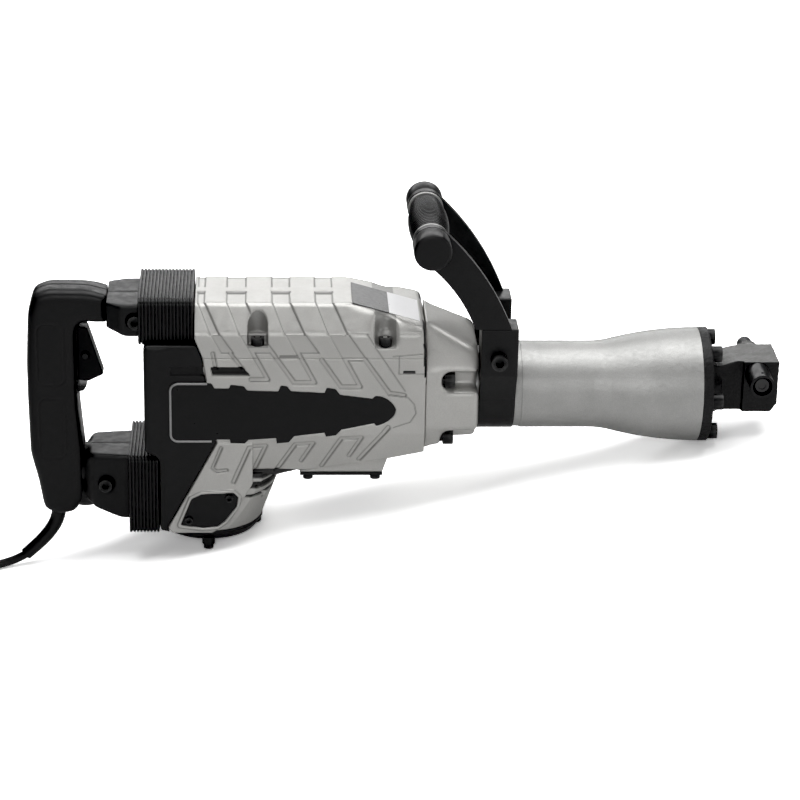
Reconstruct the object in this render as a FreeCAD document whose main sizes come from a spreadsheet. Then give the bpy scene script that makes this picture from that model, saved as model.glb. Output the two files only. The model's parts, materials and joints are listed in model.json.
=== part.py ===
"""Electric demolition hammer with a 30 mm hexagon tool socket.

Frame: the origin is the centre of the socket's mouth on the hammer axis, +X points out of the nose
along the tool, +Z points from the hammer axis to the side handle, and +Y to the machine's right side.
All sizes are millimetres.  The whole machine lies at negative X.
"""
import FreeCAD, Part
import math
import os
import re
import Sketcher

Vector = FreeCAD.Vector
Rotation = FreeCAD.Rotation

doc = FreeCAD.newDocument("demolition_hammer")
sheet = doc.addObject("Spreadsheet::Sheet", "Sizes")

SIZES = [
    # nose and tool socket
    ("socket_flats", 30.2, "hexagon socket across flats"),
    ("socket_depth", 72, "depth of the hexagon socket"),
    ("nose_length", 35, "block that holds the retainer pin"),
    ("nose_top", 33, "top of the nose block above the axis"),
    ("nose_bottom", 20, "bottom of the nose block below the axis"),
    ("nose_half", 25, "half width of the nose block"),
    ("neck_half", 22, "half width of the neck behind the block"),
    ("neck_top", 27, "top of the neck above the axis"),
    ("flange_front", -68.4, "front face of the bolted flange"),
    ("flange_thick", 10.2, "thickness of the bolted flange"),
    ("flange_radius", 57, "outer radius of the flange"),
    ("flange_bolt_circle", 47.5, "radius of the flange bolt circle"),
    # tool retainer
    ("pin_x", -21.6, "retainer pin axis"),
    ("pin_z", 20.4, "retainer pin axis"),
    ("pin_radius", 8, "retainer pin"),
    ("pin_cut", 6, "flat on the pin that lets the shank pass"),
    ("pin_stub", 4, "thin end of the pin in the cup"),
    ("knob_radius", 12, "spring cup of the retainer"),
    ("retainer_cup", 34, "length of the spring cup"),
    # barrel and hammer mechanism
    ("barrel_waist", 43.25, "outer radius of the straight part"),
    ("barrel_mouth", 56.9, "outer radius at the flange"),
    ("barrel_bore", 32, "bore of the barrel"),
    ("barrel_seat", 38, "radius under the side handle clamp"),
    ("barrel_rear", -353, "rear end of the barrel"),
    ("barrel_straight_end", -186, "front end of the straight part"),
    ("cylinder_bore", 28, "bore radius of the hammer cylinder"),
    ("cylinder_rear", -415, "rear end of the cylinder"),
    ("cylinder_front", -190, "front end of the cylinder"),
    ("running_gap", 0.05, "radial clearance of running fits"),
    ("crank_throw", 28, "half of the piston stroke"),
    ("rod_length", 120, "connecting rod between centres"),
    ("rod_half", 8, "half thickness of the connecting rod"),
    ("piston_rear", -409, "rear end of the piston at its rear dead centre"),
    ("piston_length", 56, "piston"),
    ("striker_rear", -290, "rear end of the striker at rest"),
    ("striker_length", 62, "striker without its nose"),
    ("striker_nose", 15, "radius of the striker nose"),
    ("anvil_rear", -178, "rear end of the impact bolt"),
    ("anvil_head", 22, "radius of the impact bolt head"),
    ("anvil_stem", 14, "radius of the impact bolt stem"),
    ("anvil_head_length", 26, "length of the impact bolt head"),
    ("anvil_front", -80, "front end of the impact bolt"),
    ("anvil_travel", 10, "free travel of the impact bolt"),
    ("wrist_radius", 7, "piston pin"),
    ("crank_pin_radius", 10, "crank pin"),
    ("crank_disc_bottom", 13, "underside of the crank disc"),
    # gear train
    ("motor_x", -566, "vertical motor axis"),
    ("gear_module", 2, "module of both gear stages"),
    ("motor_teeth", 10, "pinion on the armature shaft"),
    ("idler_teeth", 27, "large gear of the idler"),
    ("second_teeth", 11, "pinion of the idler"),
    ("crank_teeth", 35, "crank gear"),
    ("first_level", 43, "bottom of the first gear stage"),
    ("second_level", 55, "bottom of the second gear stage"),
    ("gear_width", 11, "face width of the gears"),
    ("plate_bottom", 26, "underside of the bearing plate"),
    ("plate_thick", 14, "bearing plate"),
    ("motor_shaft", 8, "armature shaft"),
    ("shaft_end", 6, "stepped ends of the armature and idler shafts"),
    ("crank_shaft", 12.5, "crankshaft in its lower bearing"),
    ("crank_shaft_end", 10, "crankshaft in its upper bearing"),
    ("small_bearing", 13, "outer radius of the idler and lower motor bearings"),
    ("motor_bearing", 16, "outer radius of the upper motor bearing"),
    ("crank_bearing", 26, "outer radius of the lower crank bearing"),
    ("crank_end_bearing", 17.5, "outer radius of the upper crank bearing"),
    ("small_bearing_width", 10, "width of the small bearings"),
    ("bearing_width", 12, "width of the larger bearings"),
    # castings
    ("case_half", 59, "half width of the main housing"),
    ("case_front", -353, "front face of the main housing"),
    ("case_split", 49.5, "parting face between housing and top cover"),
    ("case_top", 100, "top of the top cover"),
    ("top_half", 39, "half width of the flat top"),
    ("belt_height", 75, "edge where the side turns in to the top"),
    ("chamber_half", 45, "half width of the crank chamber"),
    ("chamber_floor", -14, "floor of the crank chamber"),
    ("chamber_front", -372, "front wall of the crank chamber"),
    ("motor_bore", 42, "bore that holds the stator"),
    ("motor_radius", 53.5, "outer radius of the motor housing"),
    ("motor_back", -610.5, "flat at the back of the motor housing"),
    ("armature_radius", 27, "armature core"),
    ("core_bottom", -98, "bottom of the armature and stator cores"),
    ("core_top", -45, "top of the armature and stator cores"),
    ("fan_bottom", -34, "bottom of the cooling fan"),
    ("fan_top", -20, "top of the cooling fan"),
    ("brush_z", -112, "height of the carbon brushes"),
    ("cap_bottom", -148, "underside of the motor end cap"),
    ("sump_face", -80, "face of the bottom cover"),
    ("sump_rear", -475, "rear edge of the bottom cover"),
    ("sump_front", -393, "front edge of the bottom cover"),
    ("top_bolt_seat", 62, "seat of the top cover bolts"),
    ("top_pocket", 9.8, "radius of the pockets of the top cover bolts"),
    ("front_pocket", 9.5, "half width of the pockets of the front housing bolts"),
    ("front_seat", -334, "seat of the front housing bolts"),
    ("motor_foot", -137, "lower end of the motor housing"),
    ("front_face", -300, "front face of the front housing"),
    ("front_half", 56, "half width of the front housing"),
    # rear cover, bellows and main handle
    ("cover_rear", -628, "rear face of the rear cover"),
    ("cover_half", 57, "half width of the rear cover"),
    ("cover_wall", 3, "wall of the rear cover"),
    ("cover_top", 62, "top of the rear cover below the upper bellows"),
    ("cover_step", -614, "rear face of the cover behind the lower bellows"),
    ("arm_joint", -664, "joint between the grip and the upper arm"),
    ("grip_half", 21, "half thickness of the main grip"),
    ("upper_arm_front", -625, "front end of the upper handle arm"),
    ("lower_arm_front", -638, "front end of the lower handle arm"),
    ("upper_screw_x", -636.4, "upper handle screw axis"),
    ("upper_screw_z", 80.4, "upper handle screw axis"),
    ("lower_screw_x", -668, "lower handle screw axis"),
    ("lower_screw_z", -95.8, "lower handle screw axis"),
    ("screw_recess", 7.5, "radius of the recesses of the handle screws"),
    ("damper_length", 23.8, "damper springs of the main handle"),
    ("damper_radius", 10, "mean radius of the damper springs"),
    ("damper_wire", 1.75, "wire radius of the damper springs"),
    ("upper_spring_z", 79, "height of the upper damper spring"),
    ("lower_spring_z", -100, "height of the lower damper spring"),
    ("trigger_x", -696, "trigger pivot"),
    ("trigger_z", 56, "trigger pivot"),
    ("lock_x", -686.5, "lock button axis"),
    ("lock_z", 33.4, "lock button axis"),
    ("upper_arm_half", 40, "half width of the upper handle arm"),
    ("lower_arm_half", 34, "half width of the lower handle arm"),
    ("bellows_half", 49, "half width of the bellows"),
    ("bellows_wall", 4, "wall of the bellows"),
    ("upper_bellows_top", 106, "top of the upper bellows"),
    ("lower_bellows_bottom", -142, "underside of the lower bellows"),
    ("lower_bellows_top", -59, "top of the lower bellows"),
    ("bezel_rear", -698, "seat of the trigger bezel in the grip"),
    ("cord_radius", 4.2, "power cord"),
    # side handle
    ("clamp_rear", -299.7, "rear face of the clamp"),
    ("clamp_width", 36.2, "width of the clamp along the barrel"),
    ("clamp_front", -263.3, "shoulder of the barrel in front of the clamp"),
    ("clamp_bolt_x", -282, "clamp bolt axis"),
    ("clamp_bolt_z", 48.2, "clamp bolt axis"),
    ("cap_face", 84, "end faces of the side grip"),
    ("clamp_outer", 43.5, "outer radius of the clamp ring"),
    ("arm_outer", 59, "outer face of the side handle arms"),
    ("arm_thick", 8, "thickness of the side handle arms"),
    ("side_grip_x", -350.5, "axis of the side grip"),
    ("side_grip_z", 167, "axis of the side grip"),
    ("side_cap_radius", 18.2, "end caps of the side grip"),
    ("side_rod", 6, "spigots of the end caps inside the side grip"),
    ("side_sleeve", 46, "half length of the rubber sleeve of the side grip"),
    # fasteners
    ("m10_head", 8, "head radius"),
    ("m10_head_height", 10, "head height"),
    ("m10_shank", 5, "shank radius"),
    ("m8_head", 6.5, "head radius"),
    ("m8_head_height", 8, "head height"),
    ("m8_shank", 4, "shank radius"),
    ("m6_head", 5, "head radius"),
    ("m6_head_height", 5, "head height"),
    ("m6_shank", 3, "shank radius"),
    ("m4_head", 3.8, "head radius"),
    ("m4_head_height", 3, "head height"),
    ("m4_shank", 2, "shank radius"),
]

for row, (alias, value, note) in enumerate(SIZES, start=1):
    sheet.set(f"A{row}", alias)
    sheet.set(f"B{row}", str(value))
    sheet.set(f"C{row}", note)
    sheet.setAlias(f"B{row}", alias)
doc.recompute()

ALIASES = {alias for alias, _, _ in SIZES}
DIRECTIONS = {
    "+X": Rotation(Vector(0, 1, 0), 90),
    "-X": Rotation(Vector(0, 1, 0), -90),
    "+Y": Rotation(Vector(1, 0, 0), -90),
    "-Y": Rotation(Vector(1, 0, 0), 90),
    "+Z": Rotation(),
    "-Z": Rotation(Vector(1, 0, 0), 180),
}
sub_parts = []


WIDE = "1400"             # longer than the machine, for sections that run through all of it


# ---------------------------------------------------------------- formulas and objects

def linked(formula):
    """Turns each alias in a formula into a reference to the sheet."""
    return re.sub(r"[a-z][a-z0-9_]*", lambda word: "Sizes." + word[0] if word[0] in ALIASES else word[0],
                  str(formula))


def number(formula):
    """The present value of a formula."""
    return float(sheet.evalExpression(linked(formula)))


def bind(thing, **formulas):
    """Binds properties of an object to formulas over the sheet."""
    for name, formula in formulas.items():
        thing.setExpression(name, linked(formula))
    return thing


def place(thing, base, direction="+Z"):
    """Turns local +Z to a direction and binds the position to three formulas."""
    thing.Placement = FreeCAD.Placement(Vector(), DIRECTIONS[direction])
    for axis, formula in zip("xyz", base):
        thing.setExpression("Placement.Base." + axis, linked(formula))
    return thing


def sub_part(thing, label):
    """Names an object as one separate piece of the machine."""
    thing.Label = label
    sub_parts.append(thing)
    return thing


def box(x, y, z):
    """A block between pairs of formulas on each axis."""
    made = doc.addObject("Part::Box", "block")
    bind(made, Length=f"({x[1]}) - ({x[0]})", Width=f"({y[1]}) - ({y[0]})", Height=f"({z[1]}) - ({z[0]})")
    return place(made, (x[0], y[0], z[0]))


def rod(base, direction, radius, length):
    """A round bar from a base point along a direction."""
    made = bind(doc.addObject("Part::Cylinder", "rod"), Radius=radius, Height=length)
    return place(made, base, direction)


def cone(base, direction, radius, end_radius, length):
    """A tapered round bar from a base point along a direction."""
    made = bind(doc.addObject("Part::Cone", "cone"), Radius1=radius, Radius2=end_radius, Height=length)
    return place(made, base, direction)


def hexagon(base, direction, flats, length):
    """A six-sided bar, given its width across flats."""
    made = bind(doc.addObject("Part::Prism", "hexagon"), Circumradius=f"({flats}) / sqrt(3)", Height=length)
    made.Polygon = 6
    return place(made, base, direction)


def fuse(*shapes):
    if len(shapes) == 1:
        return shapes[0]
    made = doc.addObject("Part::MultiFuse", "joined")
    made.Shapes = list(shapes)
    made.Refine = True
    return made


def cut(base, *tools):
    made = doc.addObject("Part::Cut", "hollowed")
    made.Base = base
    made.Tool = fuse(*tools)
    made.Refine = True
    return made


def common(first, second):
    made = doc.addObject("Part::MultiCommon", "shared")
    made.Shapes = [first, second]
    made.Refine = True
    return made


def group(shapes):
    made = doc.addObject("Part::Compound", "group")
    made.Links = list(shapes)
    return made


def shaped(shape, name, base=("0", "0", "0"), direction="+Z"):
    """A piece whose outline no standard feature draws; its sizes are read from the sheet in code."""
    made = doc.addObject("Part::Feature", name + "_shape")
    made.Shape = shape
    return place(made, base, direction)


# ---------------------------------------------------------------- sketches and bodies

def new_body(name):
    return doc.addObject("PartDesign::Body", name + "_body")


def new_sketch(owner, plane, level="0"):
    """An empty sketch on one of the body's origin planes, lifted by a formula."""
    made = owner.newObject("Sketcher::SketchObject", owner.Name + "_sketch")
    made.AttachmentSupport = (next(f for f in owner.Origin.OriginFeatures if f.Role == plane), "")
    made.MapMode = "FlatFace"
    made.setExpression("AttachmentOffset.Base.z", linked(level))
    return made


def constrain(sketch, kind, *args):
    """Adds a dimension whose last argument is a formula."""
    index = sketch.addConstraint(Sketcher.Constraint(kind, *args[:-1], number(args[-1])))
    if any(word in ALIASES for word in re.findall(r"[a-z][a-z0-9_]*", str(args[-1]))):
        sketch.setExpression(f"Constraints[{index}]", linked(args[-1]))


def bent(start, end, radius):
    """The arc between two points; it bulges to the right of the way for a positive radius."""
    half = (end - start) * 0.5
    across = Vector(-half.y, half.x, 0).normalize()
    reach = math.sqrt(max(radius ** 2 - half.Length ** 2, 0))
    centre = start + half + across * math.copysign(reach, radius)
    middle = centre - across * radius
    return Part.Arc(start, middle, end)


def draw_outline(sketch, points):
    """A closed outline.  Each point is (x, y) or (x, y, r) where r bends the edge that follows."""
    spots = [Vector(number(p[0]), number(p[1]), 0) for p in points]
    edges = []
    first = sketch.GeometryCount
    for i, point in enumerate(points):
        start, end = spots[i], spots[(i + 1) % len(points)]
        if len(point) == 3:
            radius = number(point[2])
            sketch.addGeometry(bent(start, end, radius))
            edges.append((1, 2) if radius > 0 else (2, 1))
        else:
            sketch.addGeometry(Part.LineSegment(start, end))
            edges.append((1, 2))
    for i, point in enumerate(points):
        following = (i + 1) % len(points)
        sketch.addConstraint(Sketcher.Constraint(
            "Coincident", first + i, edges[i][1], first + following, edges[following][0]))
        constrain(sketch, "DistanceX", -1, 1, first + i, edges[i][0], point[0])
        constrain(sketch, "DistanceY", -1, 1, first + i, edges[i][0], point[1])
        if len(point) == 3:
            constrain(sketch, "Radius", first + i, str(point[2]).lstrip("-"))


def draw_circle(sketch, x, y, radius):
    index = sketch.addGeometry(Part.Circle(Vector(number(x), number(y), 0), Vector(0, 0, 1), number(radius)))
    constrain(sketch, "DistanceX", -1, 1, index, 3, x)
    constrain(sketch, "DistanceY", -1, 1, index, 3, y)
    constrain(sketch, "Radius", index, radius)


def feature(owner, kind, sketch, **formulas):
    made = owner.newObject("PartDesign::" + kind, owner.Name + "_" + kind.lower())
    made.Profile = sketch
    return bind(made, **formulas)


def padded(name, plane, points, length, level="0", holes=()):
    """A body padded equally to both sides of a plane, with round holes (x, y, radius) through it."""
    owner = new_body(name)
    sketch = new_sketch(owner, plane, level)
    draw_outline(sketch, points)
    for hole in holes:
        draw_circle(sketch, *hole)
    feature(owner, "Pad", sketch, Length=length).SideType = "Symmetric"
    return owner


def turned(name, profile, plane="XZ_Plane", axis="H_Axis", shift=("0", "0", "0")):
    """A body turned from a closed half profile about a sketch axis."""
    owner = new_body(name)
    sketch = new_sketch(owner, plane)
    draw_outline(sketch, profile)
    made = feature(owner, "Revolution", sketch)
    made.ReferenceAxis = (sketch, [axis])
    made.Angle = 360
    return place(owner, shift)


def sleeve(name, start, end, inner, outer):
    """A plain tube along the hammer axis."""
    return turned(name, [(start, inner), (end, inner), (end, outer), (start, outer)])


def upright(name, profile, x):
    """A body turned about a vertical axis at x; the profile holds (radius, height) pairs."""
    return turned(name, profile, axis="V_Axis", shift=(x, "0", "0"))


def screws(size, seats, direction, length):
    """Socket-head cap screws; each seat is the point under the head, the head points to the direction."""
    back = direction.translate(str.maketrans("+-", "-+"))
    signs = {"X": 0, "Y": 1, "Z": 2}
    solids, hexes = [], []
    for seat in seats:
        head_top = list(seat)
        axis = signs[direction[1]]
        head_top[axis] = f"({seat[axis]}) {direction[0]} {size}_head_height"
        solids.append(rod(seat, direction, f"{size}_head", f"{size}_head_height"))
        solids.append(rod(seat, back, f"{size}_shank", length))
        hexes.append(hexagon(head_top, back, f"{size}_head * 0.95", f"{size}_head_height * 0.55"))
    return cut(fuse(*solids), *hexes)


# ---------------------------------------------------------------- gears

def tooth_edges(teeth, module, first_angle):
    """Closed outline of an involute gear of 25 degree pressure angle, thinned for backlash."""
    pressure = math.radians(25)
    backlash = 0.12
    pitch = module * teeth / 2
    base = pitch * math.cos(pressure)
    tip = pitch + 0.97 * module
    root = pitch - 1.25 * module
    start = max(base, root)
    half_tooth = math.pi / (2 * teeth) - backlash / (2 * pitch)

    def flank(radius):
        turn = math.acos(min(1.0, base / radius))
        return half_tooth + (math.tan(pressure) - pressure) - (math.tan(turn) - turn)

    def at(radius, angle):
        return Vector(radius * math.cos(angle), radius * math.sin(angle), 0)

    edges = []
    for k in range(teeth):
        middle = first_angle + 2 * math.pi * k / teeth
        following = middle + 2 * math.pi / teeth
        between = (start + tip) / 2
        low = flank(start)
        if start > root:
            edges.append(Part.makeLine(at(root, middle - low), at(start, middle - low)))
        edges.append(Part.Arc(at(start, middle - low), at(between, middle - flank(between)),
                              at(tip, middle - flank(tip))).toShape())
        edges.append(Part.Arc(at(tip, middle - flank(tip)), at(tip, middle),
                              at(tip, middle + flank(tip))).toShape())
        edges.append(Part.Arc(at(tip, middle + flank(tip)), at(between, middle + flank(between)),
                              at(start, middle + low)).toShape())
        if start > root:
            edges.append(Part.makeLine(at(start, middle + low), at(root, middle + low)))
        edges.append(Part.Arc(at(root, middle + low), at(root, (middle + following) / 2),
                              at(root, following - low)).toShape())
    return edges


def gear_blank(teeth_alias, level_alias, x, tooth_towards):
    """A toothed disc at a vertical axis; a tooth, or a gap for a driven gear, faces along X."""
    teeth = int(number(teeth_alias))
    gap_facing_back = math.pi + math.pi / teeth
    outline = Part.Wire(Part.__sortEdges__(tooth_edges(
        teeth, number("gear_module"), 0 if tooth_towards else gap_facing_back)))
    solid = Part.Face(outline).extrude(Vector(0, 0, number("gear_width")))
    return shaped(solid, teeth_alias, (x, "0", level_alias))


IDLER_X = "motor_x + gear_module * (motor_teeth + idler_teeth) / 2"
CRANK_X = IDLER_X + " + gear_module * (second_teeth + crank_teeth) / 2"
CRANK_PIN_X = CRANK_X + " - crank_throw"
WRIST_X = CRANK_PIN_X + " + rod_length"


# ---------------------------------------------------------------- nose, retainer and barrel

def flange_bolt_places():
    return [(f"flange_bolt_circle * sin({30 + 60 * k})", f"flange_bolt_circle * cos({30 + 60 * k})")
            for k in range(6)]


def front_cap():
    neck = padded("neck", "XZ_Plane", [
        ("-socket_depth", "-nose_bottom + 1"), ("-nose_length + 1", "-nose_bottom + 1"),
        ("-nose_length + 1", "nose_top"), ("-nose_length - 6", "nose_top"),
        ("flange_front + 8", "neck_top"), ("flange_front - 1", "neck_top + 3")], "neck_half * 2")
    block = padded("nose", "XZ_Plane", [
        ("-nose_length", "-nose_bottom"), ("-6", "-nose_bottom"), ("0", "-nose_bottom + 8"),
        ("0", "nose_top"), ("-nose_length", "nose_top")], "nose_half * 2")
    flange = rod(("flange_front - flange_thick", "0", "0"), "+X", "flange_radius", "flange_thick")
    hub = cone(("flange_front", "0", "0"), "+X", "neck_half + 12", "neck_half + 4", "12")
    hub_slice = common(hub, box(("flange_front", "flange_front + 12"), ("-40", "40"),
                                ("-nose_bottom - 2", "neck_top + 3")))
    socket = hexagon(("-socket_depth", "0", "0"), "+X", "socket_flats", "socket_depth + 1")
    stem_way = rod(("flange_front - flange_thick - 1", "0", "0"), "+X", "anvil_stem + 0.2", "20")
    pin_hole = rod(("pin_x", "-nose_half - 1", "pin_z"), "+Y", "pin_radius + running_gap",
                   "nose_half * 2 + 2")
    bolt_holes = [rod(("flange_front - flange_thick - 1", y, z), "+X", "m10_shank", "flange_thick + 2")
                  for y, z in flange_bolt_places()]
    sub_part(cut(fuse(neck, block, flange, hub_slice), socket, stem_way, pin_hole, *bolt_holes), "front_cap")


def retainer():
    """The sprung cross pin; pulled out and turned half round, its flat lets the tool go."""
    bar = rod(("pin_x", "-nose_half + 0.5", "pin_z"), "+Y", "pin_radius", "nose_half * 2 + 10")
    stub = rod(("pin_x", "-nose_half + 0.5", "pin_z"), "-Y", "pin_stub", "retainer_cup - 4")
    flat = box(("pin_x - 10", "pin_x + 10"), ("-17", "17"), ("pin_z + pin_radius - pin_cut", "pin_z + 12"))
    sub_part(cut(fuse(bar, stub), flat), "retainer_pin")

    cup = rod(("pin_x", "-nose_half", "pin_z"), "-Y", "knob_radius", "retainer_cup")
    hollow = rod(("pin_x", "-nose_half - 4", "pin_z"), "-Y", "knob_radius - 2.5", "retainer_cup")
    stub_way = rod(("pin_x", "-nose_half + 1", "pin_z"), "-Y", "pin_stub + running_gap", "8")
    drilling = rod(("pin_x", "-nose_half - retainer_cup + 7", "pin_z + knob_radius + 1"), "-Z", "1.6", "6")
    sub_part(cut(cup, hollow, stub_way, drilling), "retainer_cup")

    collar = rod(("pin_x", "-nose_half - retainer_cup + 7.5", "pin_z"), "-Y", "7", "4")
    collar_bore = rod(("pin_x", "-nose_half - retainer_cup + 12", "pin_z"), "-Y",
                      "pin_stub + running_gap", "12")
    sub_part(cut(collar, collar_bore), "retainer_collar")

    side = "nose_half + 1"
    hub = rod(("pin_x", side, "pin_z"), "+Y", "11", "13")
    blade = box(("pin_x - 24", "pin_x"), (side, f"{side} + 6"), ("pin_z - 22", "pin_z - 4"))
    tip = rod(("pin_x", side, "pin_z"), "+Y", "7.75", "32")
    bore = rod(("pin_x", "nose_half", "pin_z"), "+Y", "pin_radius - 2", "12")
    seat = rod(("pin_x", "nose_half - 1", "pin_z"), "+Y", "pin_radius", "12")
    sub_part(cut(fuse(hub, blade, tip), bore, seat), "retainer_lever")


def retainer_spring():
    """The spring between the cup and the collar on the thin end of the pin."""
    length = number("retainer_cup") - 11.6
    coil = helix_spring(6.2, 0.8, length, 5)
    sub_part(shaped(coil, "retainer_spring", ("pin_x", "-nose_half - 4.9", "pin_z"), "-Y"), "retainer_spring")


def barrel():
    form = turned("barrel", [
        ("barrel_rear", "barrel_bore"), ("flange_front - flange_thick", "barrel_bore"),
        ("flange_front - flange_thick", "barrel_mouth", "370"),
        ("barrel_straight_end + 18", "barrel_waist + 2.05", "-90"),
        ("barrel_straight_end", "barrel_waist"), ("clamp_front + 7", "barrel_waist"),
        ("clamp_front + 7", "barrel_waist - 1"), ("clamp_front", "barrel_waist - 1"),
        ("clamp_front", "barrel_seat"), ("case_front + 8", "barrel_seat"),
        ("case_front + 8", "barrel_seat + 6"), ("barrel_rear", "barrel_seat + 6")])
    tapped = [rod(("flange_front - flange_thick + 1", y, z), "-X", "m10_shank", "19")
              for y, z in flange_bolt_places()]
    sub_part(cut(form, *tapped), "barrel")


# ---------------------------------------------------------------- hammer mechanism

def hammer_mechanism():
    sub_part(sleeve("cylinder", "cylinder_rear", "cylinder_front", "cylinder_bore", "barrel_bore"),
             "hammer_cylinder")
    guide_rear = "cylinder_front"
    guide_front = "flange_front - flange_thick"
    step = "anvil_rear + anvil_head_length + anvil_travel + 2"
    sub_part(turned("guide", [
        (guide_rear, "anvil_head + 2"), ("cylinder_front + 8", "anvil_head + 2"),
        ("cylinder_front + 8", "anvil_head + running_gap"), (step, "anvil_head + running_gap"),
        (step, "anvil_stem + running_gap"), (guide_front, "anvil_stem + running_gap"),
        (guide_front, "barrel_bore"), (guide_rear, "barrel_bore")]), "impact_bolt_guide")

    fit = "cylinder_bore - running_gap"
    sub_part(turned("striker", [
        ("striker_rear", "0"), ("striker_rear + striker_length + 10", "0"),
        ("striker_rear + striker_length + 10", "striker_nose"),
        ("striker_rear + striker_length", "striker_nose + 3"), ("striker_rear + striker_length", fit),
        ("striker_rear", fit)]), "striker")
    head_end = "anvil_rear + anvil_head_length"
    sub_part(turned("anvil", [
        ("anvil_rear", "0"), ("anvil_front", "0"), ("anvil_front", "anvil_stem"), (head_end, "anvil_stem"),
        (head_end, "anvil_head"), ("anvil_rear + 3", "anvil_head"), ("anvil_rear", "anvil_head - 3")]),
        "impact_bolt")

    piston_front = "piston_rear + piston_length"
    solid = turned("piston", [
        ("piston_rear", "0"), (piston_front, "0"), (piston_front, fit), ("piston_rear", fit)])
    slot = box(("piston_rear - 1", WRIST_X + " + 14"), ("-17", "17"), ("-rod_half - 1", "rod_half + 1"))
    wrist_hole = rod((WRIST_X, "0", "-20.5"), "+Z", "wrist_radius + running_gap", "41")
    sub_part(cut(solid, slot, wrist_hole), "piston")


def connecting_rod():
    small_end = rod((WRIST_X, "0", "-rod_half"), "+Z", "12", "rod_half * 2")
    big_end = rod((CRANK_PIN_X, "0", "-rod_half"), "+Z", "16", "rod_half * 2")
    web = box((CRANK_PIN_X, WRIST_X), ("-7.2", "7.2"), ("-rod_half", "rod_half"))
    relief = [box((CRANK_PIN_X + " + 22", WRIST_X + " - 18"), ("-4", "4"), (low, high))
              for low, high in (("-rod_half - 1", "-3"), ("3", "rod_half + 1"))]
    wrist_hole = rod((WRIST_X, "0", "-rod_half - 1"), "+Z", "wrist_radius", "rod_half * 2 + 2")
    pin_hole = rod((CRANK_PIN_X, "0", "-rod_half - 1"), "+Z", "crank_pin_radius",
                   "rod_half * 2 + 2")
    sub_part(cut(fuse(small_end, big_end, web), wrist_hole, pin_hole, *relief), "connecting_rod")
    piston_pin = rod((WRIST_X, "0", "-20"), "+Z", "wrist_radius", "40")
    crank_pin = rod((CRANK_PIN_X, "0", "-rod_half - 3"), "+Z", "crank_pin_radius",
                    "crank_disc_bottom - 0.3 + rod_half + 3")
    sub_part(group([piston_pin, crank_pin]), "rod_pins")


# ---------------------------------------------------------------- gear train

def gear_train():
    top = "second_level + gear_width"
    disc_top = "crank_disc_bottom + 10"
    sub_part(upright("crankshaft", [
        ("0", "crank_disc_bottom"), ("38", "crank_disc_bottom"), ("38", disc_top), ("14", disc_top),
        ("14", "plate_bottom + 1"), ("crank_shaft", "plate_bottom + 1"), ("crank_shaft", top),
        ("crank_shaft_end", top), ("crank_shaft_end", f"{top} + 17"), ("0", f"{top} + 17")], CRANK_X),
        "crankshaft")
    bore = rod((CRANK_X, "0", "second_level - 1"), "+Z", "crank_shaft", "gear_width + 2")
    lightening = [rod((f"{CRANK_X} + 23 * cos({60 * k})", f"23 * sin({60 * k})", "second_level - 1"),
                      "+Z", "5.5", "gear_width + 2") for k in range(6)]
    sub_part(cut(gear_blank("crank_teeth", "second_level", CRANK_X, False), bore, *lightening), "crank_gear")

    idler_bore = rod((IDLER_X, "0", "first_level - 1"), "+Z", "motor_shaft", "gear_width + 2")
    sub_part(cut(gear_blank("idler_teeth", "first_level", IDLER_X, False), idler_bore), "idler_gear")
    shaft = upright("idler_shaft", [
        ("0", "plate_bottom + 2"), ("shaft_end", "plate_bottom + 2"), ("shaft_end", "plate_bottom + 12"),
        ("motor_shaft", "plate_bottom + 12"), ("motor_shaft", top), ("shaft_end", top),
        ("shaft_end", f"{top} + 15"), ("0", f"{top} + 15")], IDLER_X)
    sub_part(fuse(shaft, gear_blank("second_teeth", "second_level", IDLER_X, True)), "idler_shaft")


def ball_bearings():
    """Two bearings for each of the three vertical shafts."""
    top = "second_level + gear_width + 5"
    sub_part(group([
        bearing("motor_upper", "motor_x", "plate_bottom + 1", "motor_shaft", "motor_bearing"),
        bearing("motor_lower", "motor_x", "motor_foot - 4", "shaft_end", "small_bearing"),
        bearing("idler_lower", IDLER_X, "plate_bottom + 2", "shaft_end", "small_bearing"),
        bearing("idler_upper", IDLER_X, top, "shaft_end", "small_bearing"),
        bearing("crank_lower", CRANK_X, "plate_bottom + 1", "crank_shaft", "crank_bearing"),
        bearing("crank_upper", CRANK_X, top, "crank_shaft_end", "crank_end_bearing")]), "ball_bearings")


def bearing(name, x, bottom, bore, outside):
    """A sealed ball bearing with shields set back between its rings."""
    width = "small_bearing_width" if outside == "small_bearing" else "bearing_width"
    seal_in, seal_out = f"{bore} + ({outside} - {bore}) * 0.3", f"{bore} + ({outside} - {bore}) * 0.72"
    low, high = bottom, f"{bottom} + {width}"
    return upright(name, [
        (bore, low), (seal_in, low), (seal_in, f"{low} + 0.8"), (seal_out, f"{low} + 0.8"), (seal_out, low),
        (outside, low), (outside, high), (seal_out, high), (seal_out, f"{high} - 0.8"),
        (seal_in, f"{high} - 0.8"), (seal_in, high), (bore, high)], x)


def bearing_plate():
    plate = box(("motor_x - 25.8", f"{CRANK_X} + 58"), ("-chamber_half + 0.1", "chamber_half - 0.1"),
                ("plate_bottom", "plate_bottom + plate_thick"))
    bores = [rod((x, "0", "plate_bottom - 1"), "+Z", radius, "plate_thick + 2")
             for x, radius in (("motor_x", "motor_bearing"), (IDLER_X, "small_bearing"),
                               (CRANK_X, "crank_bearing"))]
    places = plate_screw_places()
    holes = [rod((x, y, "plate_bottom - 1"), "+Z", "m6_shank", "plate_thick + 2") for x, y in places]
    sub_part(cut(plate, *bores, *holes), "bearing_plate")


def plate_screw_places():
    return [("motor_x - 18", "-36"), ("motor_x - 18", "36"),
            (f"{CRANK_X} + 51", "-38.5"), (f"{CRANK_X} + 51", "38.5")]


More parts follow.
